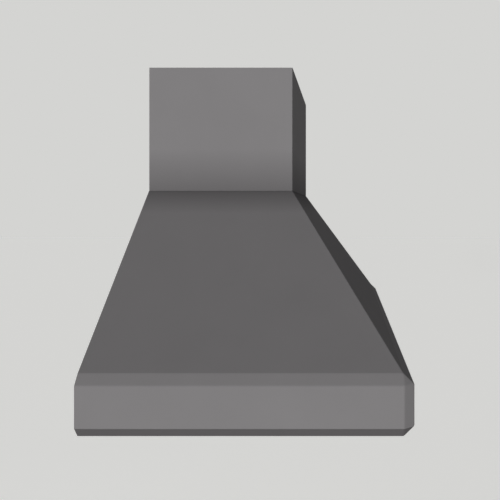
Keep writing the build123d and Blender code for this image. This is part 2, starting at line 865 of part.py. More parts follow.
def lamp_bezel(x, y):
    """Ring under the pan that frames the lens."""
    ring = rod_z(lamp_bezel_radius, x, y, (0, shell_sheet))
    return ring - rod_z(lamp_lens_radius + tight_fit, x, y, (-cut_margin, shell_sheet + cut_margin))


def lamp_lens(x, y):
    """Frosted disc in the bezel."""
    return rod_z(lamp_lens_radius, x, y, (0, shell_sheet))


# Controls

def switch_bezel():
    """Plate on the lip that frames the buttons."""
    plate_y = (lip_face - bezel_sheet, lip_face)
    plate_z = (lip_middle - bezel_height / 2, lip_middle + bezel_height / 2)
    plate = block((-bezel_half, bezel_half), plate_y, plate_z)
    plate = fillet(plate.edges().filter_by(Axis.Y), bezel_corner)
    hole_y = (lip_face - bezel_sheet - cut_margin, lip_face + cut_margin)
    for x in button_xs:
        plate -= rod_y(button_radius + button_gap, x, hole_y, lip_middle)
    return plate


def push_button(x):
    """Round cap through the bezel and the lip, with a flange behind the lip and a stem to its switch."""
    front = lip_face - bezel_sheet - button_proud
    cap = rod_y(button_radius, x, (front, lip_inside), lip_middle)
    cap = fillet(cap.edges().filter_by(GeomType.CIRCLE).sort_by(Axis.Y)[0], button_edge)
    stop = lip_inside + button_flange_sheet
    cap += rod_y(button_radius + button_flange, x, (lip_inside, stop), lip_middle)
    return cap + rod_y(button_stem, x, (stop, switch_face + switch_entry), lip_middle)


def switch_box():
    """Plastic tray behind the lip, open towards it."""
    back = lip_inside + switch_box_depth
    z = (lip_middle - switch_box_half_height, lip_middle + switch_box_half_height)
    outer = block((-switch_box_half, switch_box_half), (lip_inside, back), z)
    inner_half = switch_box_half - switch_box_wall
    inner_z = (z[0] + switch_box_wall, z[1] - switch_box_wall)
    shelf = board_face + board_sheet
    hollow = block((-inner_half, inner_half), (lip_inside - cut_margin, shelf), inner_z)
    pocket_half = inner_half - switch_box_wall
    pocket_z = (inner_z[0] + switch_box_wall, inner_z[1] - switch_box_wall)
    pocket = block((-pocket_half, pocket_half), (shelf - cut_margin, back - switch_box_wall), pocket_z)
    return outer - hollow - pocket


def switch_board():
    """Circuit board on the tray's inner step."""
    half = switch_box_half - switch_box_wall - seat_gap
    half_height = switch_box_half_height - switch_box_wall - seat_gap
    board_z = (lip_middle - half_height, lip_middle + half_height)
    return block((-half, half), (board_face, board_face + board_sheet), board_z)


def tact_switch(x):
    """Switch on the board with a bore that a button's stem runs in."""
    half = switch_size / 2
    body = block((x - half, x + half), (switch_face, board_face), (lip_middle - half, lip_middle + half))
    bore_y = (switch_face - cut_margin, board_face - switch_floor)
    return body - rod_y(button_stem + running_fit, x, bore_y, lip_middle)


# Filters

hinge_offsets = (-filter_width / 2 + hinge_inset, filter_width / 2 - hinge_inset)
hinge_half = hinge_width / 2
lug_spans = [
    (-hinge_half - lug_gap - lug_width, -hinge_half - lug_gap),
    (hinge_half + lug_gap, hinge_half + lug_gap + lug_width),
]


def channel(length):
    """Bar of a filter's frame along X: a sheet channel, its web at y = 0, its mouth towards -Y."""
    bar = block((-length / 2, length / 2), (-filter_bar, 0), (0, filter_thickness))
    mouth_z = (filter_sheet, filter_thickness - filter_sheet)
    return bar - block((-length, length), (-2 * filter_bar, -filter_sheet), mouth_z)


def filter_frame(centre):
    """Four channel bars: the front and rear ones run the full width, and the rear one has the hinge lugs."""
    lug_z = (-hinge_radius, hinge_radius)
    rear = Pos(0, -filter_rear, filter_floor) * channel(filter_width)
    for hinge_x in hinge_offsets:
        for low, high in lug_spans:
            span = (hinge_x + low, hinge_x + high)
            lug = block(span, (-hinge_reach, 0), lug_z) + rod_x(hinge_radius, span, 0, 0)
            lug -= rod_x(filter_pin_radius + tight_fit, span, 0, 0)
            rear += Pos(0, -hinge_depth, filter_floor) * lug
    front = Pos(0, -filter_front, filter_floor) * Rot(0, 0, 180) * channel(filter_width)
    side_length = filter_depth - 2 * filter_bar
    middle = -(filter_front + filter_rear) / 2
    right = Pos(filter_width / 2, middle, filter_floor) * Rot(0, 0, -90) * channel(side_length)
    left = Pos(-filter_width / 2, middle, filter_floor) * Rot(0, 0, 90) * channel(side_length)
    return Compound([Pos(centre, 0, 0) * bar for bar in (rear, front, left, right)])


def baffle():
    """Trough along Y, open at the top, lying on z = 0."""
    length = filter_depth - 2 * filter_sheet
    half = baffle_width / 2
    trough = block((-half, half), (-length / 2, length / 2), (0, baffle_height))
    inner = half - baffle_sheet
    return trough - block((-inner, inner), (-length, length), (baffle_sheet, 2 * baffle_height))


def filter_baffles(centre):
    """Two interleaved rows of troughs: the lower row opens upwards, the upper row downwards."""
    field = filter_width - 2 * filter_bar
    pitch = field / baffle_count
    middle = -(filter_front + filter_rear) / 2
    low = filter_floor + filter_sheet
    high = filter_top - filter_sheet
    troughs = []
    for i in range(baffle_count):
        x = centre + pitch * (i - (baffle_count - 1) / 2)
        troughs.append(Pos(x, middle, low) * baffle())
        if i:
            troughs.append(Pos(x - pitch / 2, middle, high) * Rot(180, 0, 0) * baffle())
    return Compound(troughs)


def filter_handle(centre):
    """Bow under the filter's front bar."""
    half = handle_length / 2
    y = (-filter_front, -filter_front + handle_depth)
    low = filter_floor - handle_drop
    bow = block((-half, half), y, (low, filter_floor))
    gap_half = half - handle_bar
    gap_z = (low + handle_bar, filter_floor + cut_margin)
    bow -= block((-gap_half, gap_half), (-canopy_depth, 0), gap_z)
    return Pos(centre, 0, 0) * bow


def filter_pins(centre):
    """Two hinge pins, each fixed in a pair of lugs."""
    low = lug_spans[0][0]
    high = lug_spans[1][1]
    pins = []
    for hinge_x in hinge_offsets:
        x = centre + hinge_x
        pins.append(rod_x(filter_pin_radius, (x + low, x + high), -hinge_depth, filter_floor))
    return Compound(pins)


def filter_hinge_bracket(x):
    """Plate on the rim's rear wall with the middle knuckle of one hinge."""
    span = (x - hinge_half, x + hinge_half)
    plate_z = (filter_floor - hinge_radius, filter_floor + hinge_plate_rise)
    bracket = block(span, (-rear_strip - hinge_plate, -rear_strip), plate_z)
    knuckle_z = (filter_floor - hinge_radius, filter_floor + hinge_radius)
    bracket += block(span, (-hinge_depth, -rear_strip), knuckle_z)
    bracket += rod_x(hinge_radius, span, -hinge_depth, filter_floor)
    return bracket - rod_x(filter_pin_radius + running_fit, span, -hinge_depth, filter_floor)


def filter_hinge_brackets():
    """Two brackets for each filter."""
    return Compound([filter_hinge_bracket(centre + x) for centre in filter_centres for x in hinge_offsets])


def filter_magnets():
    """One magnet for each filter, on the ledge over the filter's front bar."""
    width, depth, height = magnet_size
    low = ledge_under + panel_sheet
    y = (-opening_front, -opening_front + depth)
    return Compound([block((x - width / 2, x + width / 2), y, (low, low + height)) for x in filter_centres])


# Fasteners of the fixed pieces

def assembly_screws():
    """Like screws of the collar, the blower's neck, the motor cradle and the junction box's lid."""
    screws = []
    for x, y in collar_screw_places:
        screws.append(Pos(x, y, plate_top + collar_wall) * screw(collar_wall + plate_sheet + screw_tail))
    for x, y in neck_screw_places:
        place = Pos(x, y, plate_under - volute_sheet) * Rot(180, 0, 0)
        screws.append(place * screw(volute_sheet + plate_sheet + screw_tail))
    for y, z in cradle_screw_places:
        place = Pos(-side_face - cradle_sheet, y, z) * Rot(0, -90, 0)
        screws.append(place * screw(cradle_sheet + volute_sheet))
    for x in box_screw_x:
        screws.append(Pos(x, lid_face, box_screw_z) * Rot(90, 0, 0) * screw(box_screw))
    return Compound(screws)


# Every node and its solid or group of solids

nodes = {
    "canopy_shell": canopy_shell(),
    "back_panel": back_panel(),
    "underside_pan": underside_pan(),
    "lower_duct_cover": duct_cover(0.0),
    "upper_duct_cover": duct_cover(upper_inset) - bracket_screw_holes(),
    "duct_cover_bracket": duct_cover_bracket(),
    "bracket_screws": bracket_screws(),
    "blower_plate": blower_plate(),
    "gland_plate": gland_plate(),
    "duct_collar": duct_collar(),
    "damper_pin": damper_pin(),
    "front_damper_flap": front_damper_flap(),
    "rear_damper_flap": rear_damper_flap(),
    "volute_band": volute_band(),
    "volute_left_side": volute_left_side(),
    "volute_right_side": volute_right_side(),
    "inlet_ring": inlet_ring(),
    "motor_cradle": motor_cradle(),
    "motor_can": motor_can(),
    "motor_shaft": motor_shaft(),
    "impeller": impeller(),
    "junction_box": junction_box(),
    "junction_box_lid": junction_box_lid(),
    "terminal_block": terminal_block(),
    "cable_gland": cable_gland(),
    "capacitor": capacitor(),
    "capacitor_nut": capacitor_nut(),
    "lamp_driver": lamp_driver(),
    "wiring_harness": wiring_harness(),
    "switch_bezel": switch_bezel(),
    "switch_box": switch_box(),
    "switch_board": switch_board(),
    "tact_switches": Compound([tact_switch(x) for x in button_xs]),
    "filter_hinge_brackets": filter_hinge_brackets(),
    "filter_magnets": filter_magnets(),
    "assembly_screws": assembly_screws(),
}
for side, place in zip(("left", "right"), lamp_places):
    nodes[f"{side}_lamp_body"] = lamp_body(*place)
    nodes[f"{side}_lamp_bezel"] = lamp_bezel(*place)
    nodes[f"{side}_lamp_lens"] = lamp_lens(*place)
for i, x in enumerate(button_xs, start=1):
    nodes[f"push_button_{i}"] = push_button(x)
for i, centre in enumerate(filter_centres, start=1):
    nodes[f"filter_{i}_frame"] = filter_frame(centre)
    nodes[f"filter_{i}_baffles"] = filter_baffles(centre)
    nodes[f"filter_{i}_handle"] = filter_handle(centre)
    nodes[f"filter_{i}_pins"] = filter_pins(centre)

os.makedirs("parts", exist_ok=True)
for name, shape in nodes.items():
    export_step(Pos(0, 0, -hang_height) * shape, f"parts/{name}.step")
print(len(nodes), "nodes written")
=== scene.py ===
# %% [markdown]
# # A wall-mounted range hood
# The hood hangs on a wall over a cooker. A lip and a pyramid roof are folded from sheet steel, a square
# telescopic chimney stands on the roof, and the blower, the filters, the lamps and the switches sit
# inside. Its construction is already made, to size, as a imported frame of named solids, so this lesson
# only dresses it: sheets get the bends that a press gives them, small pieces get their rims, and every
# surface gets a finish. First we load the frame and note its box, because the dressed hood may not
# outgrow it.

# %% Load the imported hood
import json
import math

import bmesh
import bpy
from mathutils import Euler, Matrix, Vector


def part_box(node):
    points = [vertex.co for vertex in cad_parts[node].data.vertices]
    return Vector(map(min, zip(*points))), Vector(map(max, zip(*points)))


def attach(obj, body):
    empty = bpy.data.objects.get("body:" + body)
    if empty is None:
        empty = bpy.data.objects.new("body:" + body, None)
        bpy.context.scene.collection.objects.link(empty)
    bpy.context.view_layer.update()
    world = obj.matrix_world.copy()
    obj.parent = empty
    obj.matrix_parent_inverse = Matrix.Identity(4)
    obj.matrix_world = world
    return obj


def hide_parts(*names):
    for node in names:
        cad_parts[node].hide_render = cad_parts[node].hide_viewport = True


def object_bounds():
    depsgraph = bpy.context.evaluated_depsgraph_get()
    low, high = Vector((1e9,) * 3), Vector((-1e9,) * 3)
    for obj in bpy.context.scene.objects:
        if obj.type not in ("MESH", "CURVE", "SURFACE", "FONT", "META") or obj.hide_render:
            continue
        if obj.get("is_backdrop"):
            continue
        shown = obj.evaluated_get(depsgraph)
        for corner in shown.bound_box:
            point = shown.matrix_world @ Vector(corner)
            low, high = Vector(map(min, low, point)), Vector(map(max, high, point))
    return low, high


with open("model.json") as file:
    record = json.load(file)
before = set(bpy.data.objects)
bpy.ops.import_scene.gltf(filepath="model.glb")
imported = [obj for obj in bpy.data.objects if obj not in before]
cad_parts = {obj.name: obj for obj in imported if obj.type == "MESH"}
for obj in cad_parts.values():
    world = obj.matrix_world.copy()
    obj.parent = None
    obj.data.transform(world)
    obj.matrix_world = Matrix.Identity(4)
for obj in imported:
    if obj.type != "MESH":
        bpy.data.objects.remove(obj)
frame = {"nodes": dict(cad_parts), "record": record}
cad_low, cad_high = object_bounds()
body_of = {node: body for body, nodes in frame["record"]["behaviour"]["bodies"].items() for node in nodes}
slot_of = {part["node"]: part["material_slot"] for part in frame["record"]["subparts"]}
MM = 0.001
print(len(frame["nodes"]), "solids in a box of", [round(side, 3) for side in cad_high - cad_low], "m")

# %% [markdown]
# ## Tools for the finishes
# A finish is a small graph of nodes. It could be clicked together in the shader editor, but a script is
# easier to read when one function adds a node, sets it and links it. Colours are written as the hex
# values that a paint chart gives, and the shaders want linear light, so one more function turns the one
# into the other.

# %% Colours and nodes
def linear(code):
    """Turns an sRGB hex colour into the linear colour that the shaders use."""
    shares = [int(code[i:i + 2], 16) / 255 for i in (0, 2, 4)]
    return (*[s / 12.92 if s <= 0.04045 else ((s + 0.055) / 1.055) ** 2.4 for s in shares], 1.0)


def add_node(tree, kind, inputs=None, **settings):
    """Adds a node with its settings. Each input is linked to an output or set to a value."""
    node = tree.nodes.new(kind)
    for name, value in settings.items():
        setattr(node, name, value)
    for socket, value in (inputs or {}).items():
        if isinstance(value, bpy.types.NodeSocket):
            tree.links.new(value, node.inputs[socket])
        else:
            node.inputs[socket].default_value = value
    return node


print("white is", linear("FFFFFF")[0], "and middle grey is", round(linear("808080")[0], 3))

# %% [markdown]
# All finishes begin alike: a material named for the real one, the Principled shader with whatever is
# the same all over the surface, and Object coordinates, which stick to a piece when it moves. Then
# patterns vary what differs from place to place: the colour, the roughness or the relief.

# %% Start and vary a finish
finishes = {}


def new_finish(slot, constants):
    """Starts the finish of a slot: its node tree, its shader and its Object coordinates."""
    material = bpy.data.materials.new(slot.replace("_", " "))
    finishes[slot] = material
    material.use_nodes = True
    tree = material.node_tree
    shader = tree.nodes["Principled BSDF"]
    for socket, value in constants.items():
        shader.inputs[socket].default_value = value
    place = add_node(tree, "ShaderNodeTexCoord").outputs["Object"]
    return tree, shader, place


def vary_colour(tree, shader, share, first, second):
    """Base colour that runs between two near colours with a pattern."""
    mix = add_node(tree, "ShaderNodeMix", {
        "Factor": share, "A": linear(first), "B": linear(second),
    }, data_type="RGBA")
    tree.links.new(mix.outputs["Result"], shader.inputs["Base Color"])


def vary_roughness(tree, shader, share, low, high):
    """Roughness that runs between two values with a pattern."""
    spread = add_node(tree, "ShaderNodeMapRange", {"Value": share, "To Min": low, "To Max": high})
    tree.links.new(spread.outputs["Result"], shader.inputs["Roughness"])


def add_relief(tree, shader, height, depth):
    """Relief of a given depth, in metres, from a pattern."""
    bump = add_node(tree, "ShaderNodeBump", {"Height": height, "Distance": depth, "Strength": 1.0})
    tree.links.new(bump.outputs["Normal"], shader.inputs["Normal"])


print("tools for the finishes are ready")

# %% [markdown]
# ## Powder-coated sheet steel
# The hood's outside is sheet steel with a matte grey powder coat: plastic powder that is baked on until
# it flows. It gives the eye an even grey without gloss, a very fine orange-peel surface, and a slight
# drift in tone. A flat colour would look like cardboard, so two noise patterns vary it, both too weak
# to see as spots. Shade is also painted into the coat's colour, as a darker grey. In the corner between
# roof and chimney this painted shade depends on height alone, so nodes can work it out. On the roof and
# on the lip's lower edge it is a number on each face of the canopy, an attribute that the finish reads.

# %% Powder coat
PEEL = 3.0 * MM        # real orange peel is about 1 mm from crest to crest; drawn coarser to show
PEEL_DEPTH = 0.03 * MM
DRIFT = 90.0 * MM      # the slow drift in tone across a panel
PAINTED_SHADE_UP = 85.0 * MM    # how far the painted shade reaches up the chimney
PAINTED_SHADE_DOWN = 45.0 * MM  # and down the roof
PAINTED_SHADE_SHARE = 0.5       # share of the coat that the painted shade covers in the corner
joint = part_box("lower_duct_cover")[0].z


def corner_painted_shade(tree, place):
    """Share of painted shade: most where roof and chimney meet, fading up and down from there."""
    height = add_node(tree, "ShaderNodeSeparateXYZ", {"Vector": place}).outputs["Z"]
    above = add_node(tree, "ShaderNodeMapRange", {
        "Value": height, "From Min": joint, "From Max": joint + PAINTED_SHADE_UP,
        "To Min": PAINTED_SHADE_SHARE, "To Max": 0.0,
    })
    below = add_node(tree, "ShaderNodeMapRange", {
        "Value": height, "From Min": joint - PAINTED_SHADE_DOWN, "From Max": joint,
        "To Min": 0.0, "To Max": 1.0,
    })
    both = add_node(tree, "ShaderNodeMath", {
        0: above.outputs["Result"], 1: below.outputs["Result"],
    }, operation="MULTIPLY")
    return both.outputs["Value"]


def powder_coated_steel():
    """Baked powder on steel: an even, dead matte grey with a trace of orange peel, and painted shade."""
    tree, shader, place = new_finish("powder_coated_steel", {"Roughness": 0.8, "Specular IOR Level": 0.0})
    drift = add_node(tree, "ShaderNodeTexNoise", {"Vector": place, "Scale": 1 / DRIFT, "Detail": 3.0})
    peel = add_node(tree, "ShaderNodeTexNoise", {"Vector": place, "Scale": 1 / PEEL, "Detail": 2.0})
    coat = add_node(tree, "ShaderNodeMix", {
        "Factor": drift.outputs["Fac"], "A": linear("828081"), "B": linear("878586"),
    }, data_type="RGBA")
    # Painted shade on the canopy's roof and the lip's lower edge, a number on each face
    shaded_faces = add_node(tree, "ShaderNodeAttribute", attribute_name="painted_shade")
    share = add_node(tree, "ShaderNodeMath", {
        0: corner_painted_shade(tree, place), 1: shaded_faces.outputs["Fac"],
    }, operation="ADD")
    # Painted shade: the coat runs towards a dark grey by both shares together
    painted_shade = add_node(tree, "ShaderNodeMix", {
        "Factor": share.outputs["Value"], "A": coat.outputs["Result"], "B": linear("4A4849"),
    }, data_type="RGBA")
    tree.links.new(painted_shade.outputs["Result"], shader.inputs["Base Color"])
    add_relief(tree, shader, peel.outputs["Fac"], PEEL_DEPTH)


powder_coated_steel()
print("made", finishes["powder_coated_steel"].name)

# %% [markdown]
# ## Stainless steel: rolled and polished
# The filters are bright rolled sheet, and the buttons, the lamp rings and the handles are polished.
# Both are the same metal, and only the scratches differ: long and even, or next to none. Scratches are
# noise stretched along the grain, so one function makes both, with the grain's direction as a scale per
# axis.

# %% Stainless steel
GRAIN_LENGTH = 70.0 * MM
GRAIN_WIDTH = 0.8 * MM   # real scratches are about 0.05 mm wide; drawn wider so that they show


def stainless_steel(slot, grain, colours, roughness, depth):
    """Stainless steel with its grain along an axis, from the roughness and the depth of its scratches."""
    tree, shader, place = new_finish(slot, {"Metallic": 1.0})
    scale = [1 / GRAIN_LENGTH if axis == grain else 1 / GRAIN_WIDTH for axis in "XYZ"]
    stretched = add_node(tree, "ShaderNodeMapping", {"Vector": place, "Scale": scale})
    scratches = add_node(tree, "ShaderNodeTexNoise", {
        "Vector": stretched.outputs["Vector"], "Scale": 1.0, "Detail": 4.0,
    })
    vary_colour(tree, shader, scratches.outputs["Fac"], *colours)
    vary_roughness(tree, shader, scratches.outputs["Fac"], *roughness)
    add_relief(tree, shader, scratches.outputs["Fac"], depth)


# Rolled sheet: bright, with soft streaks along the troughs.
stainless_steel(
    "filter_steel", grain="Y", colours=("B0AFAC", "C4C3BF"), roughness=(0.28, 0.38), depth=0.01 * MM,
)
# Polished steel: clear highlights, only a little softened.
stainless_steel(
    "polished_steel", grain="X", colours=("C2C1BE", "D2D1CE"), roughness=(0.26, 0.32), depth=0.0005 * MM,
)
print("made two stainless steels")

# %% [markdown]
# ## Zinc
# The sheets that nobody sees are galvanised: dipped in molten zinc, which freezes into leaf-like
# crystals, the spangle. Each crystal reflects a little differently, so a Voronoi pattern gives each
# cell its own tone and roughness. Screws, pins and nuts are zinc plated instead, from a bath, which
# leaves a bright, even coat.

# %% Galvanised and zinc-plated steel
SPANGLE = 9.0 * MM
PLATING = 4.0 * MM


def galvanised_steel():
    """Hot-dip zinc on sheet: dull silver in faint, leaf-like patches."""
    tree, shader, place = new_finish("galvanised_steel", {"Metallic": 1.0})
    crystals = add_node(tree, "ShaderNodeTexVoronoi", {"Vector": place, "Scale": 1 / SPANGLE})
    tone = add_node(tree, "ShaderNodeSeparateColor", {"Color": crystals.outputs["Color"]})
    vary_colour(tree, shader, tone.outputs["Red"], "A8ACAF", "B3B7B9")
    vary_roughness(tree, shader, tone.outputs["Green"], low=0.46, high=0.54)


def zinc_plated_steel():
    """Zinc plate from a bath: bright silver that drifts between a bluish and a yellowish tint."""
    tree, shader, place = new_finish("zinc_plated_steel", {"Metallic": 1.0})
    bath = add_node(tree, "ShaderNodeTexNoise", {"Vector": place, "Scale": 1 / PLATING, "Detail": 2.0})
    vary_colour(tree, shader, bath.outputs["Fac"], "BFC4C9", "D0CFC4")
    vary_roughness(tree, shader, bath.outputs["Fac"], low=0.22, high=0.34)


galvanised_steel()
zinc_plated_steel()
print("made two zinc coats")

# %% [markdown]
# ## Castings, plastics and the rest
# Inside the hood there are castings, moulded plastics, magnets and leads. They are alike in one way: a
# single grain at a real size gives each its surface. So one function takes the grain's size, the two
# colours, the roughness and the relief, and each call below is one real material.

# %% Grained finishes
def grained(slot, grain, colours, roughness, depth, constants):
    """Finish with one even grain: two near colours, a range of roughness and a relief."""
    tree, shader, place = new_finish(slot, constants)
    grains = add_node(tree, "ShaderNodeTexNoise", {"Vector": place, "Scale": 1 / grain, "Detail": 3.0})
    vary_colour(tree, shader, grains.outputs["Fac"], *colours)
    vary_roughness(tree, shader, grains.outputs["Fac"], *roughness)
    add_relief(tree, shader, grains.outputs["Fac"], depth)


# Blasted aluminium casting: pale, sandy and dull.
grained(
    "cast_aluminium", grain=1.6 * MM, colours=("A9ABAD", "BFC1C3"), roughness=(0.42, 0.58),
    depth=0.06 * MM, constants={"Metallic": 1.0},
)
# ABS from a textured mould: near black with a soft sheen.
grained(
    "black_plastic", grain=0.9 * MM, colours=("222325", "2B2C2E"), roughness=(0.42, 0.55),
    depth=0.02 * MM, constants={"IOR": 1.53},
)
# Polyamide, and the white print on the controls: a warm white with a soft sheen.
grained(
    "white_plastic", grain=0.9 * MM, colours=("D3D0C6", "DDDAD1"), roughness=(0.38, 0.50),
    depth=0.02 * MM, constants={"IOR": 1.53},
)
# Sintered ferrite: charcoal, rough and a little glassy.
grained(
    "ferrite", grain=1.2 * MM, colours=("343437", "434346"), roughness=(0.66, 0.82),
    depth=0.03 * MM, constants={"IOR": 2.0},
)
# Soft PVC sheath of the leads: smooth dark grey.
grained(
    "lead_sheath", grain=2.0 * MM, colours=("4B4C50", "56575B"), roughness=(0.40, 0.52),
    depth=0.01 * MM, constants={"IOR": 1.54},
)
print("made", sorted(finishes))

# %% [markdown]
# ## The circuit board and the lamp lens
# The board is glass cloth under green solder mask, and its copper tracks show through as paler lines,
# so a brick pattern with thin joints stands for them. The lens is frosted polycarbonate: light passes
# through and scatters, which the shader gives by transmission with a rough surface, over small moulded
# dimples.

# %% Circuit board and frosted lens
TRACK_PITCH = 2.6 * MM
DIMPLE = 2.2 * MM
DIMPLE_DEPTH = 0.1 * MM


def circuit_board():
    """Solder mask over copper: glossy green with paler lines."""
    tree, shader, place = new_finish("circuit_board", {"Roughness": 0.38, "IOR": 1.55})
    tracks = add_node(tree, "ShaderNodeTexBrick", {
        "Vector": place, "Scale": 1 / TRACK_PITCH, "Color1": linear("1E5A39"), "Color2": linear("1B5134"),
        "Mortar": linear("3B8157"), "Mortar Size": 0.08, "Brick Width": 3.0, "Row Height": 1.0,
    })
    tree.links.new(tracks.outputs["Color"], shader.inputs["Base Color"])


def frosted_lens():
    """Frosted polycarbonate: milky white that lets light through but no image."""
    glass = {"Roughness": 0.45, "IOR": 1.58, "Transmission Weight": 0.55}
    tree, shader, place = new_finish("frosted_lens", glass)
    dimples = add_node(tree, "ShaderNodeTexVoronoi", {"Vector": place, "Scale": 1 / DIMPLE})
    vary_colour(tree, shader, dimples.outputs["Distance"], "F1EFEA", "E6E4DE")
    add_relief(tree, shader, dimples.outputs["Distance"], DIMPLE_DEPTH)


circuit_board()
frosted_lens()
print(len(finishes), "finishes in all")

# %% [markdown]
# ## Every solid gets its finish
# The frame's solids already have the right shape, so most of them stay and only change their finish.
# The record says which material slot each node belongs to, and the finishes above carry those names.

# %% Paint the frame
for node, solid in frame["nodes"].items():
    solid.data.materials.clear()
    solid.data.materials.append(finishes[slot_of[node]])
print("painted", len(frame["nodes"]), "solids")

# %% [markdown]
# ## Tools for bent sheets
# Sheet metal is what most of this hood is made of. A sheet could be carved from a block, but it is
# simpler as a bare surface: a bent line is drawn out along a straight run, or bridged to the next line,
# and its folds are rounded as a press would leave them. The thickness comes last, so the points stay
# few and the bends true.

# %% Bent sheets
BEND = 1.6 * MM
BEND_SEGMENTS = 3
FOLD_ANGLE = math.radians(8)
MERGE = 0.01 * MM


def bent_line(bm, points):
    """Adds a line through points, and gives its corners and its edges."""
    corners = [bm.verts.new(point) for point in points]
    edges = [bm.edges.new(pair) for pair in zip(corners, corners[1:])]
    return {"corners": corners, "edges": edges}


def drawn_sheet(points, run):
    """Surface of a bent line that is drawn along a straight run."""
    bm = bmesh.new()
    drawn = bmesh.ops.extrude_edge_only(bm, edges=bent_line(bm, points)["edges"])["geom"]
    far_corners = [part for part in drawn if isinstance(part, bmesh.types.BMVert)]
    bmesh.ops.translate(bm, vec=run, verts=far_corners)
    return bm


def bridged_sheet(lines):
    """Surface from each bent line to the next, where neighbouring points of a line may be one."""
    bm = bmesh.new()
    rows = [bent_line(bm, points)["edges"] for points in lines]
    for row, next_row in zip(rows, rows[1:]):
        bmesh.ops.bridge_loops(bm, edges=row + next_row)
    bmesh.ops.remove_doubles(bm, verts=bm.verts, dist=MERGE)
    return bm


def face_outwards(bm, middle):
    """Turns the faces so that they look away from a point inside."""
    bmesh.ops.recalc_face_normals(bm, faces=bm.faces)
    looks = [face.normal.dot(face.calc_center_median() - middle) * face.calc_area() for face in bm.faces]
    if sum(looks) < 0:
        bmesh.ops.reverse_faces(bm, faces=bm.faces)


def round_folds(bm, radius, segments=BEND_SEGMENTS):
    """Rounds every edge where two faces meet at an angle."""
    inner = [edge for edge in bm.edges if len(edge.link_faces) == 2]
    folds = [edge for edge in inner if edge.calc_face_angle() > FOLD_ANGLE]
    bmesh.ops.bevel(bm, geom=folds, offset=radius, offset_type="OFFSET", segments=segments, profile=0.5,
                    affect="EDGES", clamp_overlap=True, material=-1)


print("sheets bend at a radius of", BEND / MM, "mm")

# %% [markdown]
# ## From a mesh to a piece of the hood
# A mesh in the making becomes a piece when it has a name, a finish and a body that it rides on. Where
# it stands for a solid of the frame, it also says which one it replaces, so that solid is hidden.

# %% Pieces
dressed = set()


def mesh_object(name, bm):
    """Object in the scene from a mesh in the making."""
    mesh = bpy.data.meshes.new(name)
    bm.to_mesh(mesh)
    bm.free()
    thing = bpy.data.objects.new(name, mesh)
    bpy.context.scene.collection.objects.link(thing)
    return thing


def add_piece(name, bm, body, slot):
    """Piece with the finish of a slot, which moves with a body."""
    piece = mesh_object(name, bm)
    piece.data.materials.append(finishes[slot])
    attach(piece, body)
    return piece


def make_piece(name, bm, node):
    """Piece that stands for a solid of the frame, with its finish, and moves as it does."""
    piece = add_piece(name, bm, body_of[node], slot_of[node])
    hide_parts(node)
    dressed.add(node)
    return piece


# %% [markdown]
# A bent surface gets the thickness of its sheet from a Solidify modifier. It could stay live, but it is
# turned into mesh at once, so that holes can be cut through both sides afterwards. For the shading,
# bends are smooth and cut edges stay sharp, and a Weighted Normal modifier lets the large flat faces
# rule.

# %% Thickness and shading
SHARP_ANGLE = math.radians(35)


def add_modifier(piece, kind, **settings):
    """Adds a modifier with its settings."""
    modifier = piece.modifiers.new(kind.title(), kind)
    for name, value in settings.items():
        setattr(modifier, name, value)


def settle(piece):
    """Turns the modifiers of a piece into mesh."""
    shown = piece.evaluated_get(bpy.context.evaluated_depsgraph_get())
    piece.data = bpy.data.meshes.new_from_object(shown)
    piece.modifiers.clear()


def thicken(piece, sheet):
    """Gives a surface the thickness of its sheet, inwards."""
    add_modifier(piece, "SOLIDIFY", thickness=sheet, offset=-1.0, use_even_offset=True)
    settle(piece)


def shade(piece):
    """Smooth bends between flat faces: sharp edges stay, and large faces rule the shading."""
    piece.data.shade_smooth()
    piece.data.set_sharp_from_angle(angle=SHARP_ANGLE)
    add_modifier(piece, "WEIGHTED_NORMAL", keep_sharp=True)


print("edges over", round(math.degrees(SHARP_ANGLE)), "degrees stay sharp")

# %% [markdown]
# ## The canopy
# The lip and the roof are one folded and welded sheet, open towards the wall. From the foot up it is a
# list of levels: a flange turned in at the foot, the lip's slanted lower edge, its upright band, its
# slanted upper edge, the roof, and a flange turned in at the top. The lip's two front corners are cut
# by the same slant. That cut runs out to a point where the slanted edges end, so the corner is a share
# that goes from 1 to 0.

# %% Canopy surface
LIP_EDGE_END = 13.0 * MM
LIP_EDGE_FRONT = 16.0 * MM
LIP_EDGE_RISE = 15.5 * MM
LIP_BAND = 62.5 * MM
FOOT_FLANGE = 14.0 * MM
TOP_FLANGE = 12.0 * MM

shell_low, shell_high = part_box("canopy_shell")
chimney_low, chimney_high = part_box("lower_duct_cover")
foot, roof_top = shell_low.z, shell_high.z
lip_low = foot + LIP_EDGE_RISE
lip_high = lip_low + LIP_BAND
roof_foot = lip_high + LIP_EDGE_RISE
lip_half, lip_depth = shell_high.x, -shell_low.y
edge_half, edge_depth = lip_half - LIP_EDGE_END, lip_depth - LIP_EDGE_FRONT
roof_half, roof_depth = chimney_high.x, -chimney_low.y


def canopy_level(z, half, depth, corner=0.0):
    """Points round a level, from the wall along one end, the front and the other end to the wall."""
    left = [
        (-half, 0, z),
        (-half, -depth + corner * LIP_EDGE_FRONT, z),
        (-half + corner * LIP_EDGE_END, -depth, z),
    ]
    return left + [(-x, y, height) for x, y, height in reversed(left)]


def canopy_surface():
    """Outside of the canopy's sheet with its folds rounded."""
    bm = bridged_sheet([
        canopy_level(foot, edge_half - FOOT_FLANGE, edge_depth - FOOT_FLANGE),
        canopy_level(foot, edge_half, edge_depth),
        canopy_level(lip_low, lip_half, lip_depth, corner=1.0),
        canopy_level(lip_high, lip_half, lip_depth, corner=1.0),
        canopy_level(roof_foot, edge_half, edge_depth),
        canopy_level(roof_top, roof_half, roof_depth),
        canopy_level(roof_top, roof_half - TOP_FLANGE, roof_depth - TOP_FLANGE),
    ])
    face_outwards(bm, (shell_low + shell_high) / 2)
    round_folds(bm, BEND)
    return bm


print(f"roof of {(roof_top - roof_foot) / MM:.1f} mm over a lip of {(roof_foot - foot) / MM:.1f} mm")
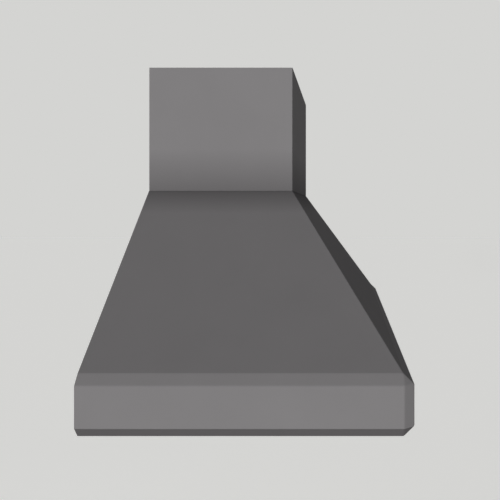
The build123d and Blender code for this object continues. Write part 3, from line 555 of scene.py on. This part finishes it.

# %% [markdown]
# Now the painted shade that the coat's finish reads: a little on the roof, and more on the slanted
# lower edge of the lip. A number on each face is enough, because both end at a fold.

# %% Painted shade on the canopy
# Shares of painted shade, which darken the roof a little and the lip's lower edge more
ROOF_PAINTED_SHADE = 0.17
EDGE_PAINTED_SHADE = 0.60


def paint_shade_on_faces(bm):
    """Marks each face with its share of painted shade."""
    painted_shade = bm.faces.layers.float.new("painted_shade")
    for face in bm.faces:
        level = face.calc_center_median().z
        if level > roof_foot:
            face[painted_shade] = ROOF_PAINTED_SHADE
        elif level < lip_low:
            face[painted_shade] = EDGE_PAINTED_SHADE


surface = canopy_surface()
paint_shade_on_faces(surface)
print("canopy surface of", len(surface.faces), "faces")

# %% [markdown]
# Sheets have holes, which a punch makes before the sheet is bent. Here they are cut when the sheet is
# done, by a Boolean with round bars, because that works on a wall that stands anywhere.

# %% Holes
HOLE_SEGMENTS = 48


def add_rod(bm, radius, start, end):
    """Adds a closed round bar between two points."""
    start, end = Vector(start), Vector(end)
    run = end - start
    place = Matrix.Translation((start + end) / 2) @ run.to_track_quat("Z", "Y").to_matrix().to_4x4()
    bmesh.ops.create_cone(bm, cap_ends=True, segments=HOLE_SEGMENTS, radius1=radius, radius2=radius,
                          depth=run.length, matrix=place)


def cut(piece, bm):
    """Takes closed shapes that stand apart away from a piece."""
    cutter = mesh_object("cutter", bm)
    add_modifier(piece, "BOOLEAN", operation="DIFFERENCE", solver="EXACT", object=cutter)
    settle(piece)
    bpy.data.objects.remove(cutter)


def drill(piece, holes):
    """Cuts round holes, each given by its radius and the two ends of its axis."""
    bm = bmesh.new()
    for hole in holes:
        add_rod(bm, *hole)
    cut(piece, bm)


print("holes have", HOLE_SEGMENTS, "sides")

# %% [markdown]
# The canopy's surface becomes its sheet, and the lip gets a hole for each of the five push buttons. The
# frame says where the buttons sit, so the holes take their places from there.

# %% Canopy sheet
SHELL_SHEET = 1.5 * MM
BUTTONS = 5
BUTTON_RADIUS = 7.0 * MM
BUTTON_GAP = 0.25 * MM
button_boxes = [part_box(f"push_button_{i + 1}") for i in range(BUTTONS)]
button_xs = [(low.x + high.x) / 2 for low, high in button_boxes]
lip_middle = (lip_low + lip_high) / 2
lip_face = -lip_depth
lip_inside = lip_face + SHELL_SHEET

canopy = make_piece("canopy_sheet", surface, "canopy_shell")
thicken(canopy, SHELL_SHEET)
drill(canopy, [
    (
        BUTTON_RADIUS + BUTTON_GAP,
        (x, lip_face - SHELL_SHEET, lip_middle),
        (x, lip_inside + SHELL_SHEET, lip_middle),
    )
    for x in button_xs
])
shade(canopy)
print("canopy of", len(canopy.data.polygons), "faces")

# %% [markdown]
# ## The duct covers
# The chimney is two covers, one inside the other, so that it can be drawn out to the ceiling. Each is a
# sheet folded four times: two returns along the wall, two sides and a front. Seen from above, that is
# one open line, so the cover is that line drawn upwards. The upper one has a screw hole in each side
# for its bracket.

# %% Duct covers
COVER_SHEET = 1.2 * MM
COVER_RETURN = 20.0 * MM
SCREW_HOLE_RADIUS = 2.1 * MM


def duct_cover(name, node):
    """Cover folded from one sheet to the box of its solid."""
    low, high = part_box(node)
    line = [
        (low.x + COVER_RETURN, high.y), (low.x, high.y), (low.x, low.y),
        (high.x, low.y), (high.x, high.y), (high.x - COVER_RETURN, high.y),
    ]
    bm = drawn_sheet([(x, y, low.z) for x, y in line], (0, 0, high.z - low.z))
    face_outwards(bm, (low + high) / 2)
    round_folds(bm, BEND)
    cover = make_piece(name, bm, node)
    thicken(cover, COVER_SHEET)
    return cover


lower_cover = duct_cover("lower_cover_sheet", "lower_duct_cover")
upper_cover = duct_cover("upper_cover_sheet", "upper_duct_cover")
upper_low, upper_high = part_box("upper_duct_cover")
screw_low, screw_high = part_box("bracket_screws")
screw_y, screw_z = (screw_low.y + screw_high.y) / 2, (screw_low.z + screw_high.z) / 2
drill(upper_cover, [
    (SCREW_HOLE_RADIUS, (side - COVER_RETURN, screw_y, screw_z), (side + COVER_RETURN, screw_y, screw_z))
    for side in (upper_low.x, upper_high.x)
])
shade(lower_cover)
shade(upper_cover)
print("two duct covers, the upper one", round((upper_high.x - upper_low.x) / MM, 1), "mm wide")

# %% [markdown]
# ## The push buttons
# Each button is turned from steel: a cap with a shallow dish for the fingertip and a rounded rim, a
# flange that keeps it from falling out of the lip, and a stem to its switch. On a lathe that is one
# outline cut round an axis, and Blender's spin does the same with a list of radii and places along the
# axis.

# %% Turned pieces
SPIN_STEPS = 64
SPIN_MERGE = 0.001 * MM
ARC_STEPS = 6
ACROSS = Vector((1, 0, 0))


def turned(outline, centre, axis, bm=None):
    """Solid of revolution from points of radius and place along an axis through a centre."""
    bm = bm or bmesh.new()
    line = bent_line(bm, [centre + radius * ACROSS + along * axis for radius, along in outline])
    bmesh.ops.spin(bm, geom=line["corners"] + line["edges"], cent=centre, axis=axis, angle=2 * math.pi,
                   steps=SPIN_STEPS, use_merge=True)
    bmesh.ops.remove_doubles(bm, verts=bm.verts, dist=SPIN_MERGE)
    bmesh.ops.recalc_face_normals(bm, faces=bm.faces)
    return bm


def arc(centre_radius, centre_along, radius, start, end):
    """Points of an arc in an outline, from one angle to another in degrees."""
    angles = [math.radians(start + (end - start) * i / ARC_STEPS) for i in range(ARC_STEPS + 1)]
    return [(centre_radius + radius * math.cos(a), centre_along + radius * math.sin(a)) for a in angles]


def hollow_face(rim_radius, rim_along, hollow):
    """Points of a hollow face, from its middle to its rim."""
    radius = (rim_radius ** 2 + hollow ** 2) / (2 * hollow)
    half = math.degrees(math.asin(rim_radius / radius))
    return arc(0, rim_along + hollow - radius, radius, start=90, end=90 - half)


print("turned pieces have", SPIN_STEPS, "sides")

# %% [markdown]
# The outline runs from the middle of the dish over the rim, back along the side to the flange and the
# stem.

# %% Push buttons
BUTTON_EDGE = 0.75 * MM
BUTTON_FLANGE = 1.6 * MM
FLANGE_SHEET = 1.2 * MM
DISH_RADIUS = 5.0 * MM
DISH_DEPTH = 0.5 * MM
STEM_RADIUS = 2.5 * MM
INTO_WALL = Vector((0, 1, 0))


def button_outline(front, back):
    """Half outline of a button between its front and its back."""
    dish = hollow_face(DISH_RADIUS, front, DISH_DEPTH)
    rim = arc(BUTTON_RADIUS - BUTTON_EDGE, front + BUTTON_EDGE, BUTTON_EDGE, start=-90, end=0)
    flange = BUTTON_RADIUS + BUTTON_FLANGE
    stop = lip_inside + FLANGE_SHEET
    stem = [(STEM_RADIUS, stop), (STEM_RADIUS, back), (0, back)]
    return dish + rim + [(BUTTON_RADIUS, lip_inside), (flange, lip_inside), (flange, stop)] + stem


for i, (low, high) in enumerate(button_boxes):
    cap = turned(button_outline(low.y, high.y), Vector((button_xs[i], 0, lip_middle)), INTO_WALL)
    shade(make_piece(f"button_cap_{i + 1}", cap, f"push_button_{i + 1}"))
print(BUTTONS, "buttons")

# %% [markdown]
# ## The control plate
# A black plastic plate on the lip frames the buttons. Its corners and its front edge are rounded by the
# mould, and each hole has a slanted edge, so a finger finds the button and the gap shows as a dark
# ring. The plate is one flat outline drawn out to its thickness. Each hole is cut by one turned shape, a
# bore that widens to a cone: a bar and a cone that overlap would leave slivers where their sides meet.

# %% Control plate
BEZEL_CORNER = 4.0 * MM
BEZEL_EDGE = 0.6 * MM
HOLE_SLANT = 1.1 * MM
bezel_low, bezel_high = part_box("switch_bezel")


def add_bezel_back(bm):
    """Adds the plate's flat back: an upright rectangle with rounded corners."""
    size = bezel_high - bezel_low
    middle = (bezel_low + bezel_high) / 2
    place = Matrix.Translation((middle.x, bezel_high.y, middle.z))
    upright = Matrix.Rotation(math.pi / 2, 4, "X") @ Matrix.Diagonal((size.x, size.z, 1, 1))
    bmesh.ops.create_grid(bm, x_segments=1, y_segments=1, size=0.5, matrix=place @ upright)
    bmesh.ops.bevel(bm, geom=bm.verts[:], offset=BEZEL_CORNER, segments=ARC_STEPS, profile=0.5,
                    affect="VERTICES", material=-1)


def bezel_plate():
    """Plate with rounded corners and a rounded front edge."""
    bm = bmesh.new()
    add_bezel_back(bm)
    drawn = bmesh.ops.extrude_face_region(bm, geom=bm.faces[:])["geom"]
    front = [part for part in drawn if isinstance(part, bmesh.types.BMVert)]
    bmesh.ops.translate(bm, vec=(0, bezel_low.y - bezel_high.y, 0), verts=front)
    rim = [edge for edge in bm.edges if all(vert in front for vert in edge.verts)]
    bmesh.ops.bevel(bm, geom=rim, offset=BEZEL_EDGE, segments=BEND_SEGMENTS, profile=0.5, affect="EDGES",
                    material=-1)
    bmesh.ops.recalc_face_normals(bm, faces=bm.faces)
    return bm


def button_bores():
    """Turned shapes that cut the holes: each starts behind the plate and widens to before it."""
    radius = BUTTON_RADIUS + BUTTON_GAP
    behind, before = bezel_high.y + BEZEL_EDGE, bezel_low.y - BEZEL_EDGE
    bore = [(0, behind), (radius, behind), (radius, bezel_low.y + HOLE_SLANT)]
    cone = [(radius + HOLE_SLANT + BEZEL_EDGE, before), (0, before)]
    bm = bmesh.new()
    for x in button_xs:
        turned(bore + cone, Vector((x, 0, lip_middle)), INTO_WALL, bm)
    return bm


bezel = make_piece("bezel_plate", bezel_plate(), "switch_bezel")
cut(bezel, button_bores())
shade(bezel)
print("control plate with", len(button_xs), "holes")

# %% [markdown]
# Small printed marks under the buttons tell them apart: a sun for the lamps, one to three dots for the
# speeds, and a ring for off. They could be a picture on the plate, but discs and rings a hair thick
# stay sharp at any distance, like the layer of ink that they are.

# %% Printed marks
MARK_DROP = 12.0 * MM
MARK_DOT = 0.9 * MM
MARK_STEP = 3.0 * MM
MARK_RING = 2.2 * MM
SUN_DISC = 1.26 * MM
SUN_RAY = 0.3 * MM
SUN_RAYS = 8
INK = 0.03 * MM


def add_mark(bm, x, z, radius, hollow=0.0):
    """Adds a disc of ink on the plate, or a ring where it is hollow."""
    place = Vector((x, bezel_low.y, lip_middle - MARK_DROP + z))
    outline = [(hollow, -INK), (radius, -INK), (radius, 0), (hollow, 0)]
    if hollow:
        outline.append(outline[0])
    turned(outline, place, INTO_WALL, bm)


def printed_marks():
    """Marks of all five buttons, from the lamps at the left to off at the right."""
    bm = bmesh.new()
    lamp_x, *speed_xs, off_x = button_xs
    add_mark(bm, lamp_x, 0, SUN_DISC)
    for i in range(SUN_RAYS):
        angle = 2 * math.pi * i / SUN_RAYS
        add_mark(bm, lamp_x + MARK_RING * math.cos(angle), MARK_RING * math.sin(angle), SUN_RAY)
    for count, x in enumerate(speed_xs, start=1):
        for i in range(count):
            add_mark(bm, x + MARK_STEP * (i - (count - 1) / 2), 0, MARK_DOT)
    add_mark(bm, off_x, 0, MARK_RING, hollow=MARK_RING - MARK_DOT)
    return bm


add_piece("printed_marks", printed_marks(), body_of["switch_bezel"], "white_plastic")
print("marks for", len(button_xs), "buttons")

# %% [markdown]
# ## The baffle filters
# A baffle filter has two rows of troughs that overlap: the air has to turn round their edges, the
# grease flies on and drips into the lower row. All the troughs are alike, so one is folded from sheet
# and then set out by copies, the lower row open upwards and the upper row turned over between them.

# %% Baffles
FILTERS = 3
BAFFLES = 9
BAFFLE_WIDTH = 22.0 * MM
BAFFLE_HEIGHT = 13.0 * MM
BAFFLE_SHEET = 0.8 * MM


def taken_mesh(thing):
    """Mesh of an object that was only needed to make it."""
    mesh = thing.data
    bpy.data.objects.remove(thing)
    return mesh


def trough(length):
    """Mesh of one trough along Y, open at the top, its floor on z = 0."""
    half = BAFFLE_WIDTH / 2
    line = [(half, BAFFLE_HEIGHT), (half, 0), (-half, 0), (-half, BAFFLE_HEIGHT)]
    bm = drawn_sheet([(x, -length / 2, z) for x, z in line], (0, length, 0))
    face_outwards(bm, Vector((0, 0, BAFFLE_HEIGHT / 2)))
    round_folds(bm, BEND)
    sheet = mesh_object("trough", bm)
    thicken(sheet, BAFFLE_SHEET)
    return taken_mesh(sheet)


def add_copy(bm, shape, place):
    """Adds a copy of a mesh at a place."""
    first = len(bm.verts)
    bm.from_mesh(shape)
    bm.verts.ensure_lookup_table()
    bmesh.ops.transform(bm, matrix=place, verts=bm.verts[first:])


def baffle_rows(node):
    """Both rows of troughs in the box of their solid."""
    low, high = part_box(node)
    shape = trough(high.y - low.y)
    middle = (low.y + high.y) / 2
    pitch = (high.x - low.x - BAFFLE_WIDTH) / (BAFFLES - 1)
    bm = bmesh.new()
    for i in range(2 * BAFFLES - 1):
        x = low.x + BAFFLE_WIDTH / 2 + i * pitch / 2
        upper = i % 2 == 1
        turn = Matrix.Rotation(math.pi if upper else 0, 4, "Y")
        add_copy(bm, shape, Matrix.Translation((x, middle, high.z if upper else low.z)) @ turn)
    return bm


for i in range(FILTERS):
    node = f"filter_{i + 1}_baffles"
    shade(make_piece(f"baffle_rows_{i + 1}", baffle_rows(node), node))
print(FILTERS, "filters of", 2 * BAFFLES - 1, "troughs each")

# %% [markdown]
# Each filter is pulled down by a handle under its front bar: a strip that is bent twice into a bow. It
# is another drawn line, with larger bends than the sheets have.

# %% Handles
HANDLE_BAR = 3.0 * MM
HANDLE_BEND = 5.0 * MM
HANDLE_SEGMENTS = 6


def bent_handle(node):
    """Strip bent into a bow under the filter's front bar."""
    low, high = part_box(node)
    line = [(high.x, high.z), (high.x, low.z), (low.x, low.z), (low.x, high.z)]
    bm = drawn_sheet([(x, low.y, z) for x, z in line], (0, high.y - low.y, 0))
    face_outwards(bm, (low + high) / 2)
    round_folds(bm, HANDLE_BEND, segments=HANDLE_SEGMENTS)
    return bm


for i in range(FILTERS):
    node = f"filter_{i + 1}_handle"
    handle = make_piece(f"bent_handle_{i + 1}", bent_handle(node), node)
    thicken(handle, HANDLE_BAR)
    shade(handle)
print(FILTERS, "handles")

# %% [markdown]
# Round the troughs run four channels with their mouths inwards. The front and the rear one run the full
# width, and the side ones fit between them. Their solid could stay and have its edges eased, as later
# pieces do, but its bars touch at their ends, and the easing would weld them into one there. So each
# channel is folded from sheet like a trough.

# %% Filter channels
FILTER_BAR = 14.0 * MM
FILTER_SHEET = 1.0 * MM


def channel(corner, inward, rise, run):
    """Mesh of one channel: its web rises from a corner, and its two flanges reach inwards."""
    line = [corner + inward, corner, corner + rise, corner + rise + inward]
    bm = drawn_sheet(line, run)
    face_outwards(bm, corner + (inward + rise + run) / 2)
    round_folds(bm, BEND)
    sheet = mesh_object("channel", bm)
    thicken(sheet, FILTER_SHEET)
    return taken_mesh(sheet)


def filter_channels(low, high):
    """The four channels between the outer corners of a filter."""
    rise = Vector((0, 0, high.z - low.z))
    across = Vector((high.x - low.x, 0, 0))
    back = Vector((0, high.y - low.y - 2 * FILTER_BAR, 0))
    to_right, to_rear = Vector((FILTER_BAR, 0, 0)), Vector((0, FILTER_BAR, 0))
    bm = bmesh.new()
    bm.from_mesh(channel(low, to_rear, rise, across))
    bm.from_mesh(channel(Vector((low.x, high.y, low.z)), -to_rear, rise, across))
    bm.from_mesh(channel(low + to_rear, to_right, rise, back))
    bm.from_mesh(channel(low + to_rear + across, -to_right, rise, back))
    return bm


print("channels of", FILTER_BAR / MM, "mm round", FILTERS, "filters")

# %% [markdown]
# On the rear channel sit two pairs of lugs, which hold the hinge pins. A lug is a flat block, round
# about its pin. Its outline is drawn out like a sheet, but the line is closed and the ends are filled,
# which makes it solid. All lugs are alike, so one is drilled and then set out by copies.

# %% Hinge lugs
LUG_WIDTH = 3.0 * MM
LUG_RADIUS = 3.5 * MM
LUG_SPAN = 19.0 * MM   # over both lugs of a pair
PIN_FIT = 0.02 * MM


def hinge_lug(reach, bore):
    """Mesh of one lug about its pin's axis: square towards the channel, round towards the wall."""
    round_end = arc(0, 0, LUG_RADIUS, start=-90, end=0) + arc(0, 0, LUG_RADIUS, start=0, end=90)[1:]
    outline = round_end + [(-reach, LUG_RADIUS), (-reach, -LUG_RADIUS), round_end[0]]
    bm = drawn_sheet([(-LUG_WIDTH / 2, y, z) for y, z in outline], (LUG_WIDTH, 0, 0))
    bmesh.ops.remove_doubles(bm, verts=bm.verts, dist=MERGE)
    bmesh.ops.holes_fill(bm, edges=bm.edges)
    bmesh.ops.recalc_face_normals(bm, faces=bm.faces)
    lug = mesh_object("lug", bm)
    drill(lug, [(bore, (-LUG_WIDTH, 0, 0), (LUG_WIDTH, 0, 0))])
    return taken_mesh(lug)


def add_lugs(bm, rear, pins):
    """Adds two pairs of lugs on the rear channel, each pair flush with the ends of its pin."""
    low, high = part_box(pins)
    pin = (low + high) / 2
    lug = hinge_lug(pin.y - rear, (high.z - low.z) / 2 + PIN_FIT)
    near, far = LUG_WIDTH / 2, LUG_SPAN - LUG_WIDTH / 2
    for x in (low.x + near, low.x + far, high.x - far, high.x - near):
        add_copy(bm, lug, Matrix.Translation((x, pin.y, pin.z)))


for i in range(FILTERS):
    node = f"filter_{i + 1}_frame"
    frame_low, frame_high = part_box(node)
    baffles_low, baffles_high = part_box(f"filter_{i + 1}_baffles")
    rear, floor = baffles_high.y + FILTER_SHEET, baffles_low.z - FILTER_SHEET
    bars = filter_channels(Vector((*frame_low.xy, floor)), Vector((frame_high.x, rear, frame_high.z)))
    add_lugs(bars, rear, f"filter_{i + 1}_pins")
    shade(make_piece(f"filter_bars_{i + 1}", bars, node))
print(FILTERS, "filter frames with four lugs each")

# %% [markdown]
# ## The lamps
# Two round lamps sit in the front strip of the pan. Each shows a turned steel ring with a rounded rim
# and a frosted lens that is a little hollow. Both are spun like the buttons, about upright axes.

# %% Lamp rings and lenses
RING_EDGE = 0.7 * MM
LENS_HOLLOW = 0.5 * MM
LENS_RADIUS = 24.0 * MM
LENS_GAP = 0.02 * MM
UP = Vector((0, 0, 1))


def ring_outline(outer, inner, low, high):
    """Closed outline of a ring whose lower edges are rounded."""
    inner_edge = arc(inner + RING_EDGE, low + RING_EDGE, RING_EDGE, start=180, end=270)
    outer_edge = arc(outer - RING_EDGE, low + RING_EDGE, RING_EDGE, start=270, end=360)
    return [(inner, high)] + inner_edge + outer_edge + [(outer, high), (inner, high)]


def lens_outline(low, high):
    """Outline of a disc whose lower face is hollow."""
    return hollow_face(LENS_RADIUS, low, LENS_HOLLOW) + [(LENS_RADIUS, high), (0, high)]


for side in ("left", "right"):
    low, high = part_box(f"{side}_lamp_bezel")
    centre = Vector(((low.x + high.x) / 2, (low.y + high.y) / 2, 0))
    ring = turned(ring_outline((high.x - low.x) / 2, LENS_RADIUS + LENS_GAP, low.z, high.z), centre, UP)
    shade(make_piece(f"{side}_lamp_ring", ring, f"{side}_lamp_bezel"))
    lens = turned(lens_outline(low.z, high.z), centre, UP)
    shade(make_piece(f"{side}_lamp_glass", lens, f"{side}_lamp_lens"))
print("two lamps with lenses of", 2 * LENS_RADIUS / MM, "mm")

# %% [markdown]
# ## Eased edges
# No sheet, casting or moulding has a perfectly sharp edge. The solids that stay keep their shape, and a
# stack of modifiers eases their edges: Weld joins the faces' shared points, Bevel rounds the sharp
# edges, and Weighted Normal keeps the flat faces flat. Castings and mouldings get more than sheets.

# %% Eased edges
EASE_SEGMENTS = 2
# Width of the eased edges in each finish
EASES = {
    "powder_coated_steel": 0.3 * MM,
    "galvanised_steel": 0.2 * MM,
    "zinc_plated_steel": 0.5 * MM,
    "cast_aluminium": 0.5 * MM,
    "black_plastic": 0.3 * MM,
    "white_plastic": 0.6 * MM,
    "ferrite": 0.4 * MM,
}


def ease(solid, width):
    """Rounds the sharp edges of a solid without changing its mesh."""
    add_modifier(solid, "WELD", merge_threshold=MERGE)
    add_modifier(solid, "BEVEL", width=width, segments=EASE_SEGMENTS, limit_method="ANGLE",
                 angle_limit=SHARP_ANGLE, use_clamp_overlap=True, harden_normals=False)
    add_modifier(solid, "WEIGHTED_NORMAL", keep_sharp=True)


bare = [node for node in frame["nodes"] if node not in dressed and slot_of[node] in EASES]
for node in bare:
    ease(frame["nodes"][node], EASES[slot_of[node]])
print("eased", len(bare), "solids")

# %% [markdown]
# ## The camera
# The picture to match looks straight along the wall at the hood's left end, so that end is square to
# the picture and its edges stay level and upright. All the long edges run towards one point, right of
# the picture's middle and above it. A turned camera would make the end lean, so the lens is shifted
# instead, by just that offset.

# %% Camera
CAMERA_AWAY = 0.949                 # metres from the hood's left end
CAMERA_FROM_WALL = 0.395
CAMERA_HEIGHT = 0.335               # above the hood's foot
CAMERA_LENS = 46.68                 # millimetres
CAMERA_SHIFT = (-0.1876, -0.0788)   # shares of the picture's width

camera = bpy.data.objects.new("camera", bpy.data.cameras.new("camera"))
bpy.context.scene.collection.objects.link(camera)
camera.location = (-lip_half - CAMERA_AWAY, -CAMERA_FROM_WALL, foot + CAMERA_HEIGHT)
camera.rotation_euler = Euler((math.pi / 2, 0, -math.pi / 2))
camera.data.lens = CAMERA_LENS
camera.data.shift_x, camera.data.shift_y = CAMERA_SHIFT
bpy.context.scene.camera = camera
print("camera with a lens of", CAMERA_LENS, "mm")

# %% [markdown]
# ## Light
# In the picture the hood's end is lit from the camera's side and its long front is dark. So a sun
# stands low at the left, and soft, weaker ones at the other sides keep those from going black. Area
# lamps would light the near end more than the far one. A sun's light is even.

# %% Suns
# Degrees round from the front, up and wide, and the share of full light
SUNS = {
    "left_sun": {"around": 255.0, "up": 1.5, "wide": 6.0, "share": 0.82},
    "front_sun": {"around": 12.0, "up": 10.0, "wide": 18.0, "share": 0.14},
    "right_sun": {"around": 100.0, "up": 10.0, "wide": 18.0, "share": 0.60},
    "back_sun": {"around": 165.0, "up": 10.0, "wide": 18.0, "share": 0.40},
}


def soft_sun(name, around, up, wide, share):
    """Wide sun from a direction. At a share of 1, a white sheet that faces it looks just white."""
    lamp = bpy.data.objects.new(name, bpy.data.lights.new(name, "SUN"))
    lamp.data.energy = math.pi * share
    lamp.data.angle = math.radians(wide)
    around, up = math.radians(around), math.radians(up)
    source = Vector((math.sin(around) * math.cos(up), -math.cos(around) * math.cos(up), math.sin(up)))
    lamp.rotation_euler = source.to_track_quat("Z", "Y").to_euler()
    bpy.context.scene.collection.objects.link(lamp)


for name, settings in SUNS.items():
    soft_sun(name, **settings)
print(len(SUNS), "suns")

# %% [markdown]
# ## Background
# What the eye sees of the background is its own colour, by way of the Light Path node, so it can be
# pale without putting more light on the hood. Mirrors and glass see that colour too. All other light
# from the world is weak and even.

# %% Background
PALE = "D4D4D2"
AMBIENT = 0.08


def seen_directly(tree):
    """Share that is 1 where the camera, a mirror or a glass looks, and 0 for all other light."""
    path = add_node(tree, "ShaderNodeLightPath").outputs
    looks = path["Is Camera Ray"]
    for ray in ("Is Glossy Ray", "Is Transmission Ray"):
        either = add_node(tree, "ShaderNodeMath", {0: looks, 1: path[ray]}, operation="MAXIMUM")
        looks = either.outputs["Value"]
    return looks


def studio_world():
    """Pale background for the eye, and a weak even light for the hood."""
    world = bpy.data.worlds.new("studio")
    world.use_nodes = True
    tree = world.node_tree
    light = tree.nodes["Background"]
    light.inputs["Color"].default_value = linear("FFFFFF")
    light.inputs["Strength"].default_value = AMBIENT
    backdrop = add_node(tree, "ShaderNodeBackground", {"Color": linear(PALE), "Strength": 1.0})
    both = add_node(tree, "ShaderNodeMixShader", {
        0: seen_directly(tree), 1: light.outputs["Background"], 2: backdrop.outputs["Background"],
    })
    tree.links.new(both.outputs["Shader"], tree.nodes["World Output"].inputs["Surface"])
    return world


bpy.context.scene.view_settings.view_transform = "Standard"
bpy.context.scene.world = studio_world()
print("background of", PALE)

# %% [markdown]
# ## Floor
# The floor is a large level sheet of pale paper. The suns stand low, so they light it weakly and it
# would end in a grey line against the background. A glow that only the eye sees fills up what is
# missing, so floor and background are one tone and only the hood's soft shadows tell where the floor
# is.

# %% Floor
FLOOR_DROP = 0.55   # metres under the hood, so that the filters can hang open
FLOOR_SIZE = 40.0
floor_level = cad_low.z - FLOOR_DROP
sun_light = sum(sun["share"] * math.sin(math.radians(sun["up"])) for sun in SUNS.values())
floor_light = AMBIENT + sun_light


def floor_paper():
    """Pale matte paper whose glow makes up for the light that it lacks."""
    paper = bpy.data.materials.new("floor paper")
    paper.use_nodes = True
    tree = paper.node_tree
    tree.nodes.clear()
    matte = add_node(tree, "ShaderNodeBsdfDiffuse", {"Color": linear(PALE)})
    lacking = add_node(tree, "ShaderNodeMath", {
        0: seen_directly(tree), 1: 1 - floor_light,
    }, operation="MULTIPLY")
    glow = add_node(tree, "ShaderNodeEmission", {
        "Color": linear(PALE), "Strength": lacking.outputs["Value"],
    })
    both = add_node(tree, "ShaderNodeAddShader", {0: matte.outputs["BSDF"], 1: glow.outputs["Emission"]})
    add_node(tree, "ShaderNodeOutputMaterial", {"Surface": both.outputs["Shader"]})
    return paper


def studio_floor():
    """Large level sheet under the hood."""
    bm = bmesh.new()
    bmesh.ops.create_grid(bm, x_segments=1, y_segments=1, size=FLOOR_SIZE / 2)
    bmesh.ops.translate(bm, vec=(0, 0, floor_level), verts=bm.verts)
    floor = mesh_object("floor", bm)
    floor.data.materials.append(floor_paper())
    floor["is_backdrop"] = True


studio_floor()
print("floor at", round(floor_level, 3), "m, lit at", round(floor_light, 3))

# %% Sizes
low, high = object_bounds()
print("dressed box", [round(side, 4) for side in high - low])
